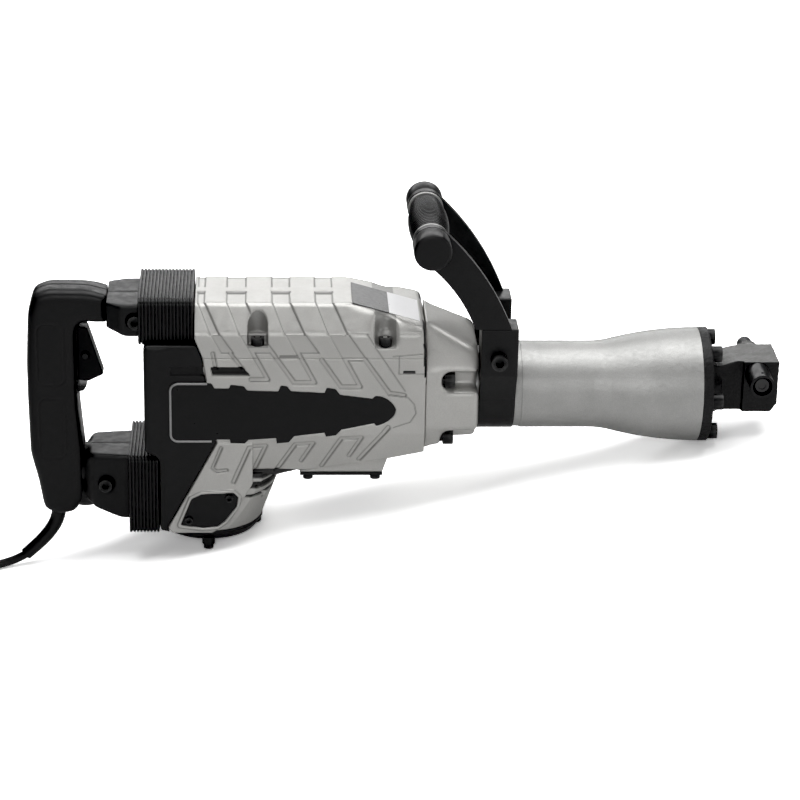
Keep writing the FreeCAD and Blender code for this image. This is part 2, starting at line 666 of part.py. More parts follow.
# ---------------------------------------------------------------- motor

def motor():
    shaft = upright("armature_shaft", [
        ("0", "motor_foot - 4"), ("shaft_end", "motor_foot - 4"), ("shaft_end", "motor_foot + 6"),
        ("motor_shaft", "motor_foot + 6"), ("motor_shaft", "plate_bottom + 13"),
        ("7.4", "plate_bottom + 13"), ("7.4", "first_level + gear_width"),
        ("0", "first_level + gear_width")], "motor_x")
    sub_part(fuse(shaft, gear_blank("motor_teeth", "first_level", "motor_x", True)), "armature_shaft")

    slots = [box(("-1.5", "1.5"), ("22", "33"), ("core_bottom - 1", "core_top + 1")) for _ in range(12)]
    core = cut(rod(("0", "0", "core_bottom"), "+Z", "armature_radius", "core_top - core_bottom"),
               rod(("0", "0", "core_bottom - 1"), "+Z", "motor_shaft", "core_top - core_bottom + 2"))
    for k, slot in enumerate(slots):
        angle = 30 * k + 15
        slot.Placement = FreeCAD.Placement(Vector(), Rotation(Vector(0, 0, 1), angle))
        for axis, formula in zip("xyz", (f"-1.5 * cos({angle}) - 22 * sin({angle})",
                                         f"-1.5 * sin({angle}) + 22 * cos({angle})", "core_bottom - 1")):
            slot.setExpression("Placement.Base." + axis, linked(formula))
    sub_part(place(cut(core, *slots), ("motor_x", "0", "0")), "armature_core")

    def coil_head(low, high):
        return upright("coil_head", [
            ("motor_shaft", low), ("22", low), ("27", f"({low} + {high}) / 2"), ("22", high),
            ("motor_shaft", high)], "motor_x")
    sub_part(group([coil_head("core_top", "core_top + 7"), coil_head("core_bottom - 6", "core_bottom")]),
             "armature_windings")
    sub_part(upright("commutator", [
        ("motor_shaft", "brush_z - 8"), ("18", "brush_z - 8"), ("18", "brush_z + 6"),
        ("19.5", "brush_z + 6"), ("19.5", "brush_z + 8"), ("motor_shaft", "brush_z + 8")], "motor_x"),
        "commutator")
    sub_part(cooling_fan(), "cooling_fan")

    laminations = cut(rod(("motor_x", "0", "core_bottom"), "+Z", "motor_bore", "core_top - core_bottom"),
                      rod(("motor_x", "0", "core_bottom - 1"), "+Z", "armature_radius + 0.6",
                          "core_top - core_bottom + 2"))
    sub_part(laminations, "stator_core")

    def field_coil(low, high):
        return upright("field_coil", [("30", low), ("39", low), ("39", high), ("30", high)], "motor_x")
    sub_part(group([field_coil("core_top", "core_top + 6"), field_coil("core_bottom - 8", "core_bottom")]),
             "stator_windings")


def cooling_fan():
    """A closed-back radial fan; the blades lean back from the way it turns."""
    wheel = upright("fan", [
        ("motor_shaft", "fan_bottom"), ("13", "fan_bottom"), ("13", "fan_top - 2.5"),
        ("40", "fan_top - 2.5"), ("40", "fan_top"), ("motor_shaft", "fan_top")], "0")
    blades = []
    for k in range(11):
        angle = 360 * k / 11
        blade = box(("0", "26"), ("-1", "1"), ("fan_bottom", "fan_top - 1"))
        blade.Placement = FreeCAD.Placement(Vector(), Rotation(Vector(0, 0, 1), angle + 25))
        for axis, formula in zip("xyz", (f"12.5 * cos({angle})", f"12.5 * sin({angle})", "fan_bottom")):
            blade.setExpression("Placement.Base." + axis, linked(formula))
        blades.append(blade)
    return place(fuse(wheel, *blades), ("motor_x", "0", "0"))


def brushes():
    holders, blocks = [], []
    for side in (-1, 1):
        near, far = f"{side} * 20", f"{side} * 50"
        low, high = (far, near) if side < 0 else (near, far)
        sleeve_box = box(("motor_x - 7", "motor_x + 7"), (low, high), ("brush_z - 5.5", "brush_z + 5.5"))
        way = box(("motor_x - 5.05", "motor_x + 5.05"), (f"({low}) - 1", f"({high}) + 1"),
                  ("brush_z - 3.55", "brush_z + 3.55"))
        holders.append(cut(sleeve_box, way))
        near, far = f"{side} * 18.1", f"{side} * 38"
        low, high = (far, near) if side < 0 else (near, far)
        blocks.append(box(("motor_x - 5", "motor_x + 5"), (low, high), ("brush_z - 3.5", "brush_z + 3.5")))
    sub_part(group(holders), "brush_holders")
    sub_part(group(blocks), "carbon_brushes")


def helix_spring(mean_radius, wire_radius, length, turns):
    """A coil spring along +Z; its first wire centre lies at the origin's height."""
    rise = length - 2 * wire_radius
    helix = Part.makeHelix(rise / turns, rise, mean_radius)
    section = Part.Wire(Part.makeCircle(wire_radius, Vector(mean_radius, 0, 0), Vector(0, 1, 0)))
    return Part.Wire(helix).makePipeShell([section], True, True)


def motor_end_cap():
    dish = upright("end_cap", [
        ("0", "cap_bottom"), ("48", "cap_bottom"), ("54", "motor_foot - 3"), ("54", "motor_foot"),
        ("44", "motor_foot"), ("44", "motor_foot - 5"), ("18", "motor_foot - 5"), ("18", "motor_foot + 6"),
        ("small_bearing", "motor_foot + 6"), ("small_bearing", "motor_foot - 4"), ("0", "motor_foot - 4")],
        "motor_x")
    trimmed = common(dish, box(("motor_back", "motor_x + 60"), ("-60", "60"), ("-170", "-100")))
    places = end_cap_screw_places()
    feet = [rod((x, y, "cap_bottom - 5"), "+Z", "6.5", "8") for x, y in places]
    holes = [rod((x, y, "cap_bottom - 6"), "+Z", "m6_shank", "30") for x, y in places]
    slots = [box(("motor_x - 3", "motor_x + 3"), (f"{side} * 24 - 5", f"{side} * 24 + 5"),
                 ("cap_bottom - 1", "motor_foot - 4")) for side in (-1, 1)]
    sub_part(cut(fuse(trimmed, *feet), *holes, *slots), "motor_end_cap")


def end_cap_screw_places():
    return [("motor_x", "-46"), ("motor_x", "46"), ("motor_x + 46", "0"), ("motor_x - 30", "34.5")]


# ---------------------------------------------------------------- castings

def main_housing():
    side = padded("case_side", "XZ_Plane", [
        ("-570", "case_split"), ("-556.8", "-40.4"), ("-572", "-70"), ("-560", "-80"), ("-496.7", "-80"),
        ("sump_rear", "-73.7"), ("-385", "-58.6"), ("case_front", "-51"), ("case_front", "case_split")],
        "case_half * 2")
    section = padded("case_section", "YZ_Plane", [
        ("-46", "-82"), ("46", "-82"), ("case_half", "-30"), ("case_half", "case_split"),
        ("-case_half", "case_split"), ("-case_half", "-30")], WIDE)
    motor_side = padded("motor_side", "XZ_Plane", [
        ("-556.8", "-40.4"), ("-605.4", "-131.6"), ("-602", "motor_foot"), ("-562", "motor_foot"),
        ("-546", "-128"), ("-522", "-84"), ("-522", "-40.4")], "case_half * 2 - 2")
    barrel_round = rod(("motor_x", "0", "motor_foot"), "+Z", "motor_radius", "100")
    cowl = common(cone(("motor_x", "0", "motor_foot"), "+Z", "motor_radius", "motor_radius + 22", "60"),
                  box(("motor_x", "motor_x + 90"), ("-51", "51"), ("motor_foot", "-70")))
    round_part = common(barrel_round, box(("motor_back", "motor_x + 60"), ("-60", "60"), ("-150", "0")))
    extension = box(("-606", "-556"), ("-53.5", "53.5"), ("-40", "case_split"))
    boss = padded("sump_boss", "XZ_Plane", [
        ("sump_rear", "sump_face"), ("sump_front", "sump_face"), ("-385", "-56"), ("sump_rear", "-56")],
        "74")
    outer = fuse(common(side, section), motor_side, round_part, cowl, extension, boss)

    lower_chamber = box(("motor_x + 30", "chamber_front"), ("-chamber_half", "chamber_half"),
                        ("chamber_floor", "plate_bottom"))
    upper_chamber = box(("motor_x - 26", "chamber_front"), ("-chamber_half", "chamber_half"),
                        ("plate_bottom", "case_split + 1"))
    stator_way = rod(("motor_x", "0", "motor_foot - 1"), "+Z", "motor_bore", "core_top + 8 - motor_foot + 1")
    fan_way = rod(("motor_x", "0", "core_top + 7"), "+Z", "motor_bore - 1", "fan_top + 2 - core_top - 7")
    shaft_way = rod(("motor_x", "0", "-30"), "+Z", "9.5", "60")
    sump = box(("-468", "-400"), ("-30", "30"), ("sump_face - 1", "-20"))
    grease_room = box(("motor_x + 49", "cylinder_rear - 7"), ("-42", "42"), ("-62", "chamber_floor - 6"))
    front_bore = rod(("cylinder_rear - 0.5", "0", "0"), "+X", "barrel_bore", "case_front - cylinder_rear + 1")
    name_recesses = [name_plate_outline(f"plate_recess_{k}", f"{k} * case_half", "4")
                     for k in (-1, 1)]
    brush_ways = [box(("motor_x - 7.2", "motor_x + 7.2"), (low, high), ("brush_z - 5.7", "brush_z + 5.7"))
                  for low, high in (("-60", "-30"), ("30", "60"))]
    brush_recesses = [brush_cover_outline(f"cover_recess_{k}", f"{k} * (case_half + 1.5)", "11", "0.4")
                      for k in (-1, 1)]
    vents = [cowl_vent(side_sign, step) for side_sign in (-1, 1) for step in range(3)]
    drilled = []
    for x, y in plate_screw_places():
        drilled.append(rod((x, y, "plate_bottom - 10"), "+Z", "m6_shank", "11"))
    for x, y in end_cap_screw_places():
        drilled.append(rod((x, y, "motor_foot - 1"), "+Z", "m6_shank", "26"))
    for x, y in top_bolt_places():
        drilled.append(rod((x, y, "top_bolt_seat - 45"), "+Z", "m8_shank", "60"))
    for y, z in front_bolt_places():
        drilled.append(rod(("case_front - 18", y, z), "+X", "m10_shank", "30"))
    for x, y in sump_screw_places():
        drilled.append(rod((x, y, "sump_face - 1"), "+Z", "m6_shank", "13"))
    for k in (-1, 1):
        for x, z in brush_screw_places():
            outward = "-Y" if k < 0 else "+Y"
            drilled.append(rod((x, f"{k} * (case_half - 14)", z), outward, "m4_shank", "14"))
    rooms = [lower_chamber, upper_chamber, stator_way, fan_way, shaft_way, sump, grease_room, front_bore]
    hollow = cut(outer, *rooms, *name_recesses, *brush_ways, *brush_recesses, *vents, *drilled)
    pillars = [rod((x, y, "chamber_floor - 1"), "+Z", "6", "plate_bottom - chamber_floor + 1")
               for x, y in plate_screw_places()[2:]]
    drilled_pillars = [cut(pillar, rod((x, y, "plate_bottom - 10"), "+Z", "m6_shank", "11"))
                       for pillar, (x, y) in zip(pillars, plate_screw_places()[2:])]
    sub_part(fuse(hollow, *drilled_pillars), "main_housing")


def cowl_vent(side_sign, step):
    """One slanted cooling slot through the cowl below the gear chamber."""
    slot = box(("0", "60"), ("-2.5", "2.5"), ("0", "7"))
    slot.Placement = FreeCAD.Placement(Vector(), Rotation(Vector(0, 1, 0), 20))
    for axis, formula in zip("xyz", (f"motor_x + 36 - 3 * {step}", f"{side_sign} * (50 - 13 * {step}) ",
                                     f"-88 - 12 * {step}")):
        slot.setExpression("Placement.Base." + axis, linked(formula))
    return slot


def top_cover():
    side = padded("top_side", "XZ_Plane", [
        ("-570", "case_split"), ("case_front", "case_split"), ("case_front", "79.5"), ("-427", "case_top"),
        ("-578", "case_top"), ("-578", "70")], "case_half * 2")
    section = padded("top_section", "YZ_Plane", [
        ("-case_half", "case_split"), ("case_half", "case_split"), ("case_half", "belt_height"),
        ("top_half", "case_top"), ("-top_half", "case_top"), ("-case_half", "belt_height")], WIDE)
    extension = box(("motor_x - 30", "-568"), ("-48", "48"), ("case_split", "58.5"))
    outer = fuse(common(side, section), extension)
    gear_room = box(("motor_x - 5", "chamber_front"), ("-chamber_half", "chamber_half"),
                    ("case_split - 1", "70"))
    pinion_room = box(("motor_x - 26", "-560"), ("-chamber_half", "chamber_half"), ("case_split - 1", "56"))
    upper_room = box(("-562", "-432"), ("-34", "34"), ("69", "93"))
    pockets = []
    for x, y in top_bolt_places():
        outward = ("-62", y) if y.startswith("-") else (y, "62")
        pockets.append(rod((x, y, "top_bolt_seat"), "+Z", "top_pocket", "45"))
        pockets.append(box((f"({x}) - top_pocket", f"({x}) + top_pocket"), outward,
                           ("top_bolt_seat", "case_top - 10")))
        pockets.append(rod((x, y, "case_split - 1"), "+Z", "m8_shank", "20"))
    room = cut(outer, gear_room, pinion_room, upper_room)
    bosses = [rod((x, "0", "70"), "+Z", radius, "25") for x, radius in ((CRANK_X, "23"), (IDLER_X, "18"))]
    seat = "second_level + gear_width + 5"
    seats = [rod((CRANK_X, "0", "69"), "+Z", "crank_end_bearing", f"{seat} + bearing_width - 69"),
             rod((IDLER_X, "0", "69"), "+Z", "small_bearing", f"{seat} + small_bearing_width - 69")]
    sub_part(cut(fuse(room, *bosses), *pockets, *seats), "top_cover")
    sub_part(screws("m8", [(x, y, "top_bolt_seat") for x, y in top_bolt_places()], "+Z", "45"),
             "top_cover_bolts")


def top_bolt_places():
    return [(x, y) for x in ("-517", "-393") for y in ("-52", "52")]


def front_housing():
    side = padded("front_side", "XZ_Plane", [
        ("case_front + 0.4", "-51"), ("-325", "-46"), ("front_face", "-45"), ("front_face", "52"),
        ("case_front + 0.4", "79")], "front_half * 2")
    section = padded("front_section", "YZ_Plane", [
        ("-42", "-53"), ("42", "-53"), ("front_half", "-24"), ("front_half", "34"), ("28", "82"),
        ("-28", "82"), ("-front_half", "34"), ("-front_half", "-24")], WIDE)
    bore = rod(("case_front - 1", "0", "0"), "+X", "barrel_seat", "80")
    flange_room = rod(("case_front - 1", "0", "0"), "+X", "barrel_seat + 6", "9")
    pockets = []
    for y, z in front_bolt_places():
        outward = ("-62", f"{y} + front_pocket") if y.startswith("-") else (f"{y} - front_pocket", "62")
        pockets.append(box(("front_seat", "front_face + 1"), outward,
                           (f"{z} - front_pocket", f"{z} + front_pocket")))
        pockets.append(rod(("case_front", y, z), "+X", "m10_shank", "40"))
    sub_part(cut(common(side, section), bore, flange_room, *pockets), "front_housing")


def front_bolts():
    """Six bolts hold the front cap on the barrel, four longer ones hold the front housing."""
    cap_bolts = screws("m10", [("flange_front", y, z) for y, z in flange_bolt_places()], "+X", "28")
    housing_bolts = screws("m10", [("front_seat", y, z) for y, z in front_bolt_places()], "+X", "35")
    sub_part(group([cap_bolts, housing_bolts]), "front_bolts")


def front_bolt_places():
    return [("-49", "23.7"), ("49", "23.7"), ("-40", "-40"), ("40", "-40")]


def sump_cover():
    def screw_holes():
        return [rod((x, y, "sump_face - 6"), "+Z", "m6_shank", "8") for x, y in sump_screw_places()]
    sheet_box = box(("sump_rear + 1", "sump_front - 1"), ("-36", "36"), ("sump_face - 1", "sump_face"))
    opening = box(("-462", "-406"), ("-24", "24"), ("sump_face - 2", "sump_face + 1"))
    sub_part(cut(sheet_box, opening, *screw_holes()), "bottom_gasket")
    plate = box(("sump_rear", "sump_front"), ("-37", "37"), ("sump_face - 3.5", "sump_face - 1"))
    sub_part(cut(plate, *screw_holes()), "bottom_cover")


def housing_screws():
    """The small socket screws of the bearing plate, motor end cap, bottom cover and brush covers."""
    plate = screws("m6", [(x, y, "plate_bottom + plate_thick") for x, y in plate_screw_places()],
                   "+Z", "plate_thick + 10")
    end_cap = screws("m6", [(x, y, "cap_bottom - 5") for x, y in end_cap_screw_places()], "-Z", "30")
    bottom = screws("m6", [(x, y, "sump_face - 3.5") for x, y in sump_screw_places()], "-Z", "15")
    brush = [screws("m4", [(x, f"{side}(case_half - 1)", z) for x, z in brush_screw_places()],
                    direction, "12") for side, direction in (("-", "-Y"), ("", "+Y"))]
    sub_part(group([plate, end_cap, bottom, *brush]), "housing_screws")


def sump_screw_places():
    return [(x, y) for x in ("-467", "-400") for y in ("-31", "31")]


def name_plate_outline(name, level, thick):
    """The dark side panel: a long flash that tapers to a round tip, its edges stepping out in tabs."""
    upper_edge = [(-402.4, 10.7), (-405.1, 7.7), (-436.7, 11.9), (-440.9, 17.8), (-449.8, 19.3), (-451.8, 13.8), (-484.6, 15.6), (-488.1, 20.7),
                  (-494.5, 21.8), (-496.9, 15.3), (-527, 16.3), (-530.4, 20.7), (-543.6, 22.5),
                  (-544.7, 18.5), (-559, 18.5), (-562, 24)]
    lower_edge = [(-561, -38.9), (-556.6, -35.8), (-544.2, -35.8), (-543.6, -39.5), (-529.8, -40),
                  (-525.7, -36.1), (-498.9, -34.3), (-498.2, -40), (-486.5, -38.8), (-481, -32.1),
                  (-451.4, -28.6), (-450, -32.8), (-440.4, -31.3), (-434.9, -25.4), (-402.7, -18.6)]
    rear_end = [("-595.5", "24", "8"), ("-603.5", "16"), ("-603.5", "-30.9", "8"), ("-595.5", "-38.9")]
    tip = [("-401.2", "-21.6", "30"), ("-386.9", "-14.2", "14"), ("-381.6", "-3.7", "22")]
    upper, lower = ([(str(x), str(z)) for x, z in edge] for edge in (upper_edge, lower_edge))
    return padded(name, "XZ_Plane", upper + rear_end + lower + tip, thick, f"-({level})")


def name_plates():
    plates = [name_plate_outline(f"name_plate_{side}", f"{side} * (case_half - 1.35)", "1.2")
              for side in (-1, 1)]
    sub_part(group(plates), "name_plates")


def brush_cover_outline(name, level, thick, grow):
    """Rounded parallelogram cap over a brush, lying along the edge of the rear cover."""
    corners = [(-28, -16), (-6, -19), (8, -17.5), (15, -12), (27, 4), (28.5, 14), (24, 18.5), (-7, 17),
               (-17, 12)]
    reach = number(grow)
    points = []
    for x, z in corners:
        stretch = 1 + reach / math.hypot(x, z)
        points.append((f"motor_x + 1 + {x * stretch:.3f}", f"brush_z + {z * stretch:.3f}"))
    return padded(name, "XZ_Plane", points, thick, f"-({level})")


def brush_screw_places():
    return [("motor_x + 21", "brush_z + 13"), ("motor_x - 19", "brush_z - 11")]


def brush_covers():
    covers = []
    for side, direction in ((-1, "-Y"), (1, "+Y")):
        plate = brush_cover_outline(f"brush_cover_{side}", f"{side} * (case_half - 2.5)", "3", "0")
        holes = [rod((x, f"{side} * (case_half - 5)", z), direction, "m4_shank", "6")
                 for x, z in brush_screw_places()]
        covers.append(cut(plate, *holes))
    sub_part(group(covers), "brush_covers")


# ---------------------------------------------------------------- rear cover, bellows, main handle

def rear_cover():
    outer = padded("rear_outer", "XZ_Plane", [
        ("cover_step", "motor_foot"), ("-603", "motor_foot"), ("-605.9", "-131.6"), ("-557.3", "-40.4"),
        ("-570.5", "case_split"), ("-575.5", "cover_top"), ("cover_rear", "cover_top"), ("cover_rear", "-52"),
        ("cover_step", "-58")], "cover_half * 2")
    hollow = padded("rear_hollow", "XZ_Plane", [
        ("cover_step + cover_wall", "motor_foot - 2"), ("-540", "motor_foot - 2"),
        ("-540", "cover_top - cover_wall"), ("cover_rear + cover_wall", "cover_top - cover_wall"),
        ("cover_rear + cover_wall", "-50"),
        ("cover_step + cover_wall", "-56")], "(cover_half - cover_wall) * 2")
    stub = box(("-600", "-578.4"), ("-38", "38"), ("cover_top - 1", "95"))
    recesses = [name_plate_outline(f"cover_plate_recess_{k}", f"{k} * case_half", "4")
                for k in (-1, 1)]
    sub_part(cut(fuse(cut(outer, hollow), stub), *recesses), "rear_cover")


def bellows():
    """Plain sleeves round the arms; the upper one is open below, where it sits on the rear cover."""
    upper_half = "bellows_half - 1"
    inner_half = f"{upper_half} - bellows_wall"
    upper = box(("-633", "-578.6"), (f"-({upper_half})", upper_half),
                ("cover_top + 0.4", "upper_bellows_top"))
    upper_room = box(("-634", "-577"), (f"-({inner_half})", inner_half),
                     ("cover_top - 2", "upper_bellows_top - bellows_wall"))
    sub_part(cut(upper, upper_room), "upper_bellows")
    lower_half = "bellows_half + 1"
    inner_half = f"{lower_half} - bellows_wall"
    lower = box(("-644.5", "-614.2"), (f"-({lower_half})", lower_half),
                ("lower_bellows_bottom", "lower_bellows_top"))
    lower_room = box(("-646", "-613"), (f"-({inner_half})", inner_half),
                     ("lower_bellows_bottom + bellows_wall", "lower_bellows_top - bellows_wall"))
    sub_part(cut(lower, lower_room), "lower_bellows")


def damper_springs():
    """One spring between the body and each handle arm."""
    wire = number("damper_wire")
    coils = []
    for x, z in (("upper_arm_front", "upper_spring_z"), ("lower_arm_front", "lower_spring_z")):
        coil = helix_spring(number("damper_radius"), wire, number("damper_length"), 4)
        coils.append(shaped(coil, "damper_spring", (f"{x} + damper_wire + 0.1", "0", z), "+X"))
    sub_part(group(coils), "damper_springs")


def handle():
    owner = padded("grip_form", "XZ_Plane", [
        ("arm_joint", "71"), ("arm_joint", "99"), ("-684", "104.5"), ("-721", "105"), ("-736", "99"),
        ("-741.5", "80"), ("-744", "29"), ("-744", "-16"), ("-743", "-69"), ("-736", "-98"), ("-731", "-129"),
        ("-718", "-136"), ("-700", "-133"), ("-689", "-116"), ("-689", "-70"), ("-691", "-51"),
        ("-694", "-15"), ("-694", "64"), ("-688", "71")], "grip_half * 2")
    doc.recompute()
    pad_feature = owner.Tip
    side_edges = [f"Edge{i}" for i, edge in enumerate(pad_feature.Shape.Edges, start=1)
                  if edge.BoundBox.YLength < 0.01]
    rounding = owner.newObject("PartDesign::Fillet", "grip_rounding")
    rounding.Base = (pad_feature, side_edges)
    bind(rounding, Radius="grip_half / 3")
    switch_room = box(("-736", "-698"), ("-15", "15"), ("-30", "72"))
    mouth = box(("-700", "-683"), ("-12", "12"), ("-6", "70"))
    cord_way = rod(("-718", "0", "-140"), "+Z", "cord_radius + 4.2", "60")
    core_way = box(("-725", "-711"), ("-8", "8"), ("-82", "-28"))
    hollowed = cut(owner, switch_room, mouth, cord_way, core_way)
    halves = [common(hollowed, box(("-760", "-650"), side, ("-150", "120")))
              for side in (("-30", "0"), ("0", "30"))]
    sub_part(group(halves), "grip_halves")

    upper = common(
        padded("upper_arm_side", "XZ_Plane", [
            ("arm_joint", "71.5"), ("-645", "64.5"), ("upper_arm_front", "64.5"),
            ("upper_arm_front", "97.5"), ("arm_joint", "97")], "upper_arm_half * 2"),
        padded("upper_arm_plan", "XY_Plane", [
            ("arm_joint", "-31"), ("-650", "-upper_arm_half"), ("-620", "-upper_arm_half"),
            ("-620", "upper_arm_half"), ("-650", "upper_arm_half"), ("arm_joint", "31")], "400"))
    recess = rod(("upper_screw_x", "-upper_arm_half - 1", "upper_screw_z"), "+Y", "screw_recess", "5")
    recess_hole = rod(("upper_screw_x", "-upper_arm_half - 1", "upper_screw_z"), "+Y", "m8_shank", "40")
    sub_part(cut(upper, recess, recess_hole), "upper_arm")
    lower = common(
        padded("lower_arm_side", "XZ_Plane", [
            ("-689", "-114"), ("-678", "-123"), ("-655", "-132"), ("lower_arm_front", "-133"),
            ("lower_arm_front", "-64"), ("-683", "-64"), ("-689", "-71")], "lower_arm_half * 2"),
        padded("lower_arm_plan", "XY_Plane", [
            ("-689", "-21"), ("-680", "-30"), ("-650", "-lower_arm_half"), ("-630", "-lower_arm_half"),
            ("-630", "lower_arm_half"), ("-650", "lower_arm_half"), ("-680", "30"), ("-689", "21")], "400"))
    recess = rod(("lower_screw_x", "-lower_arm_half - 1", "lower_screw_z"), "+Y", "screw_recess", "6")
    recess_hole = rod(("lower_screw_x", "-lower_arm_half - 1", "lower_screw_z"), "+Y", "m8_shank", "40")
    sub_part(cut(lower, recess, recess_hole), "lower_arm")
    seats = [("upper_screw_x", "-upper_arm_half + 4", "upper_screw_z"),
             ("lower_screw_x", "-lower_arm_half + 5", "lower_screw_z")]
    sub_part(screws("m8", seats, "-Y", "30"), "handle_screws")


def trigger_group():
    blade = padded("trigger_form", "XZ_Plane", [
        ("-706", "8"), ("-684", "5.5"), ("-669", "13"), ("-684", "62"), ("-706", "64")], "17")
    pivots = rod(("trigger_x", "-10.5", "trigger_z"), "+Y", "2", "21")
    lock_hole = rod(("lock_x", "-10", "lock_z"), "+Y", "3 + running_gap", "20")
    sub_part(cut(fuse(blade, pivots), lock_hole), "trigger")
    sub_part(rod(("lock_x", "-11.5", "lock_z"), "+Y", "3", "20"), "lock_button")
    frame = box(("bezel_rear", "bezel_rear + 3.8"), ("-11.9", "11.9"), ("-5.8", "69.8"))
    window = box(("bezel_rear - 1", "bezel_rear + 8"), ("-9", "9"), ("1.5", "66.8"))
    lip_top = box(("bezel_rear", "bezel_rear + 14"), ("-9", "9"), ("67.2", "69.8"))
    lip_low = padded("bezel_lip", "XZ_Plane", [
        ("bezel_rear", "-5.8"), ("bezel_rear + 9", "-4"), ("bezel_rear + 12", "1"),
        ("bezel_rear", "1")], "18")
    pin_slots = [box(("trigger_x - 2.2", "trigger_x + 2.2"), side, ("trigger_z - 2.2", "trigger_z + 2.2"))
                 for side in (("-10.7", "-8"), ("8", "10.7"))]
    sub_part(cut(fuse(frame, lip_top, lip_low), window, *pin_slots), "trigger_bezel")
    switch = box(("-734", "-716"), ("-13", "13"), ("-22", "62"))
    plunger = box(("-716", "-714.6"), ("-4", "4"), ("16", "24"))
    sub_part(fuse(switch, plunger), "power_switch")


def cord():
    """The bend guard leaves the foot of the grip; the cord droops to the floor and is shown cut short."""
    start = Vector(-718, 0, -128)
    bend = [start, Vector(-719, 0, -145), Vector(-731, 0, -166), Vector(-752, 0, -187)]
    guard_way = Part.BSplineCurve()
    guard_way.interpolate(bend)
    rest = [bend[-1], Vector(-772, 0, -196.5), Vector(-800, 0, -202)]
    whole_way = Part.BSplineCurve()
    whole_way.interpolate(bend + rest[1:])

    def tube(curve, radius, end_radius=None):
        path = Part.Wire(curve.toShape())
        rings = [Part.Wire(Part.makeCircle(radius, curve.value(curve.FirstParameter),
                                           curve.tangent(curve.FirstParameter)[0]))]
        if end_radius is not None:
            rings.append(Part.Wire(Part.makeCircle(end_radius, curve.value(curve.LastParameter),
                                                   curve.tangent(curve.LastParameter)[0])))
        return path.makePipeShell(rings, True, False)

    wire = tube(whole_way, number("cord_radius"))
    guard = tube(guard_way, number("cord_radius") + 3.2, number("cord_radius") + 2)
    passage = tube(whole_way, number("cord_radius") + 0.1)
    sub_part(shaped(guard.cut(passage), "cord_guard"), "cord_guard")
    sub_part(shaped(wire, "power_cord"), "power_cord")


# ---------------------------------------------------------------- side handle

def side_handle():
    profile = padded("clamp_form", "YZ_Plane", [
        ("-clamp_outer", "0", "clamp_outer"), ("0", "-clamp_outer", "clamp_outer"), ("clamp_outer", "0"),
        ("arm_outer", "32"), ("arm_outer", "80"), ("27", "80"), ("27", "20"), ("-27", "20"), ("-27", "80"),
        ("-arm_outer", "80"), ("-arm_outer", "32")], "clamp_width", "clamp_rear + clamp_width / 2")
    bore = rod(("clamp_rear - 1", "0", "0"), "+X", "barrel_seat + running_gap", "clamp_width + 2")
    bolt_hole = rod(("clamp_bolt_x", "-arm_outer - 1", "clamp_bolt_z"), "+Y", "m10_shank",
                    "arm_outer * 2 + 2")
    sub_part(cut(profile, bore, bolt_hole), "side_handle_clamp")
    bolt = screws("m10", [("clamp_bolt_x", "-arm_outer", "clamp_bolt_z")], "-Y", "arm_outer * 2 + 10")
    nut = hexagon(("clamp_bolt_x", "arm_outer", "clamp_bolt_z"), "+Y", "16", "8")
    nut_hole = rod(("clamp_bolt_x", "arm_outer - 1", "clamp_bolt_z"), "+Y", "m10_shank", "10")
    sub_part(group([bolt, cut(nut, nut_hole)]), "clamp_bolt")

    def on_head(angle):
        return (f"side_grip_x + side_cap_radius * cos({angle})",
                f"side_grip_z + side_cap_radius * sin({angle})")
    outline = [("-306", "80"), ("-270.5", "80", "260"), (*on_head(38), "side_cap_radius"),
               (*on_head(136), "side_cap_radius"), (*on_head(235), "-155")]
    arms = [padded(f"side_arm_{side}", "XZ_Plane", outline, "arm_thick",
                   f"{side} * (arm_outer - arm_thick / 2)", [("side_grip_x", "side_grip_z", "side_rod")])
            for side in (-1, 1)]
    sub_part(group(arms), "side_handle_arms")

    inner = "arm_outer - arm_thick"
    base = ("side_grip_x", "0", "side_grip_z")
    sub_part(across("side_grip", [
        ("side_rod", "-side_sleeve"), ("15.5", "-side_sleeve", "420"), ("15.5", "side_sleeve"),
        ("side_rod", "side_sleeve")], base), "side_grip")
    collars = []
    for low, high in ((f"-({inner})", "-side_sleeve"), ("side_sleeve", inner)):
        ring = [("side_rod", low), ("17.5", low), ("17.5", high), ("side_rod", high)]
        collars.append(across(f"collar_{len(collars)}", ring, base))
    sub_part(group(collars), "side_grip_collars")
    caps = []
    for sign in ("-", ""):
        points = [("0", f"{sign}cap_face"), ("side_cap_radius", f"{sign}cap_face"),
                  ("side_cap_radius", f"{sign}arm_outer"), ("side_rod", f"{sign}arm_outer"),
                  ("side_rod", f"{sign}0.1"), ("0", f"{sign}0.1")]
        caps.append(across(f"cap_{len(caps)}", points if sign else points[::-1], base))
    sub_part(group(caps), "side_grip_caps")


def across(name, profile, base):
    """A body turned about an axis across the machine; the profile holds (radius, y) pairs."""
    owner = new_body(name)
    sketch = new_sketch(owner, "XY_Plane")
    draw_outline(sketch, profile)
    made = feature(owner, "Revolution", sketch)
    made.ReferenceAxis = (sketch, ["V_Axis"])
    made.Angle = 360
    return place(owner, base)


# ---------------------------------------------------------------- build and write

def build():
    front_cap()
    retainer()
    retainer_spring()
    barrel()
    hammer_mechanism()
    connecting_rod()
    gear_train()
    ball_bearings()
    bearing_plate()
    motor()
    brushes()
    motor_end_cap()
    main_housing()
    top_cover()
    front_housing()
    front_bolts()
    sump_cover()
    housing_screws()
    name_plates()
    brush_covers()
    rear_cover()
    bellows()
    damper_springs()
    handle()
    trigger_group()
    cord()
    side_handle()


build()
doc.recompute()

faults = [item.Label for item in doc.Objects if {"Invalid", "Error"} & set(item.State)]
faults += [piece.Label for piece in sub_parts if piece.Shape.isNull() or not piece.Shape.isValid()]
if faults:
    raise SystemExit("failed: " + ", ".join(faults))

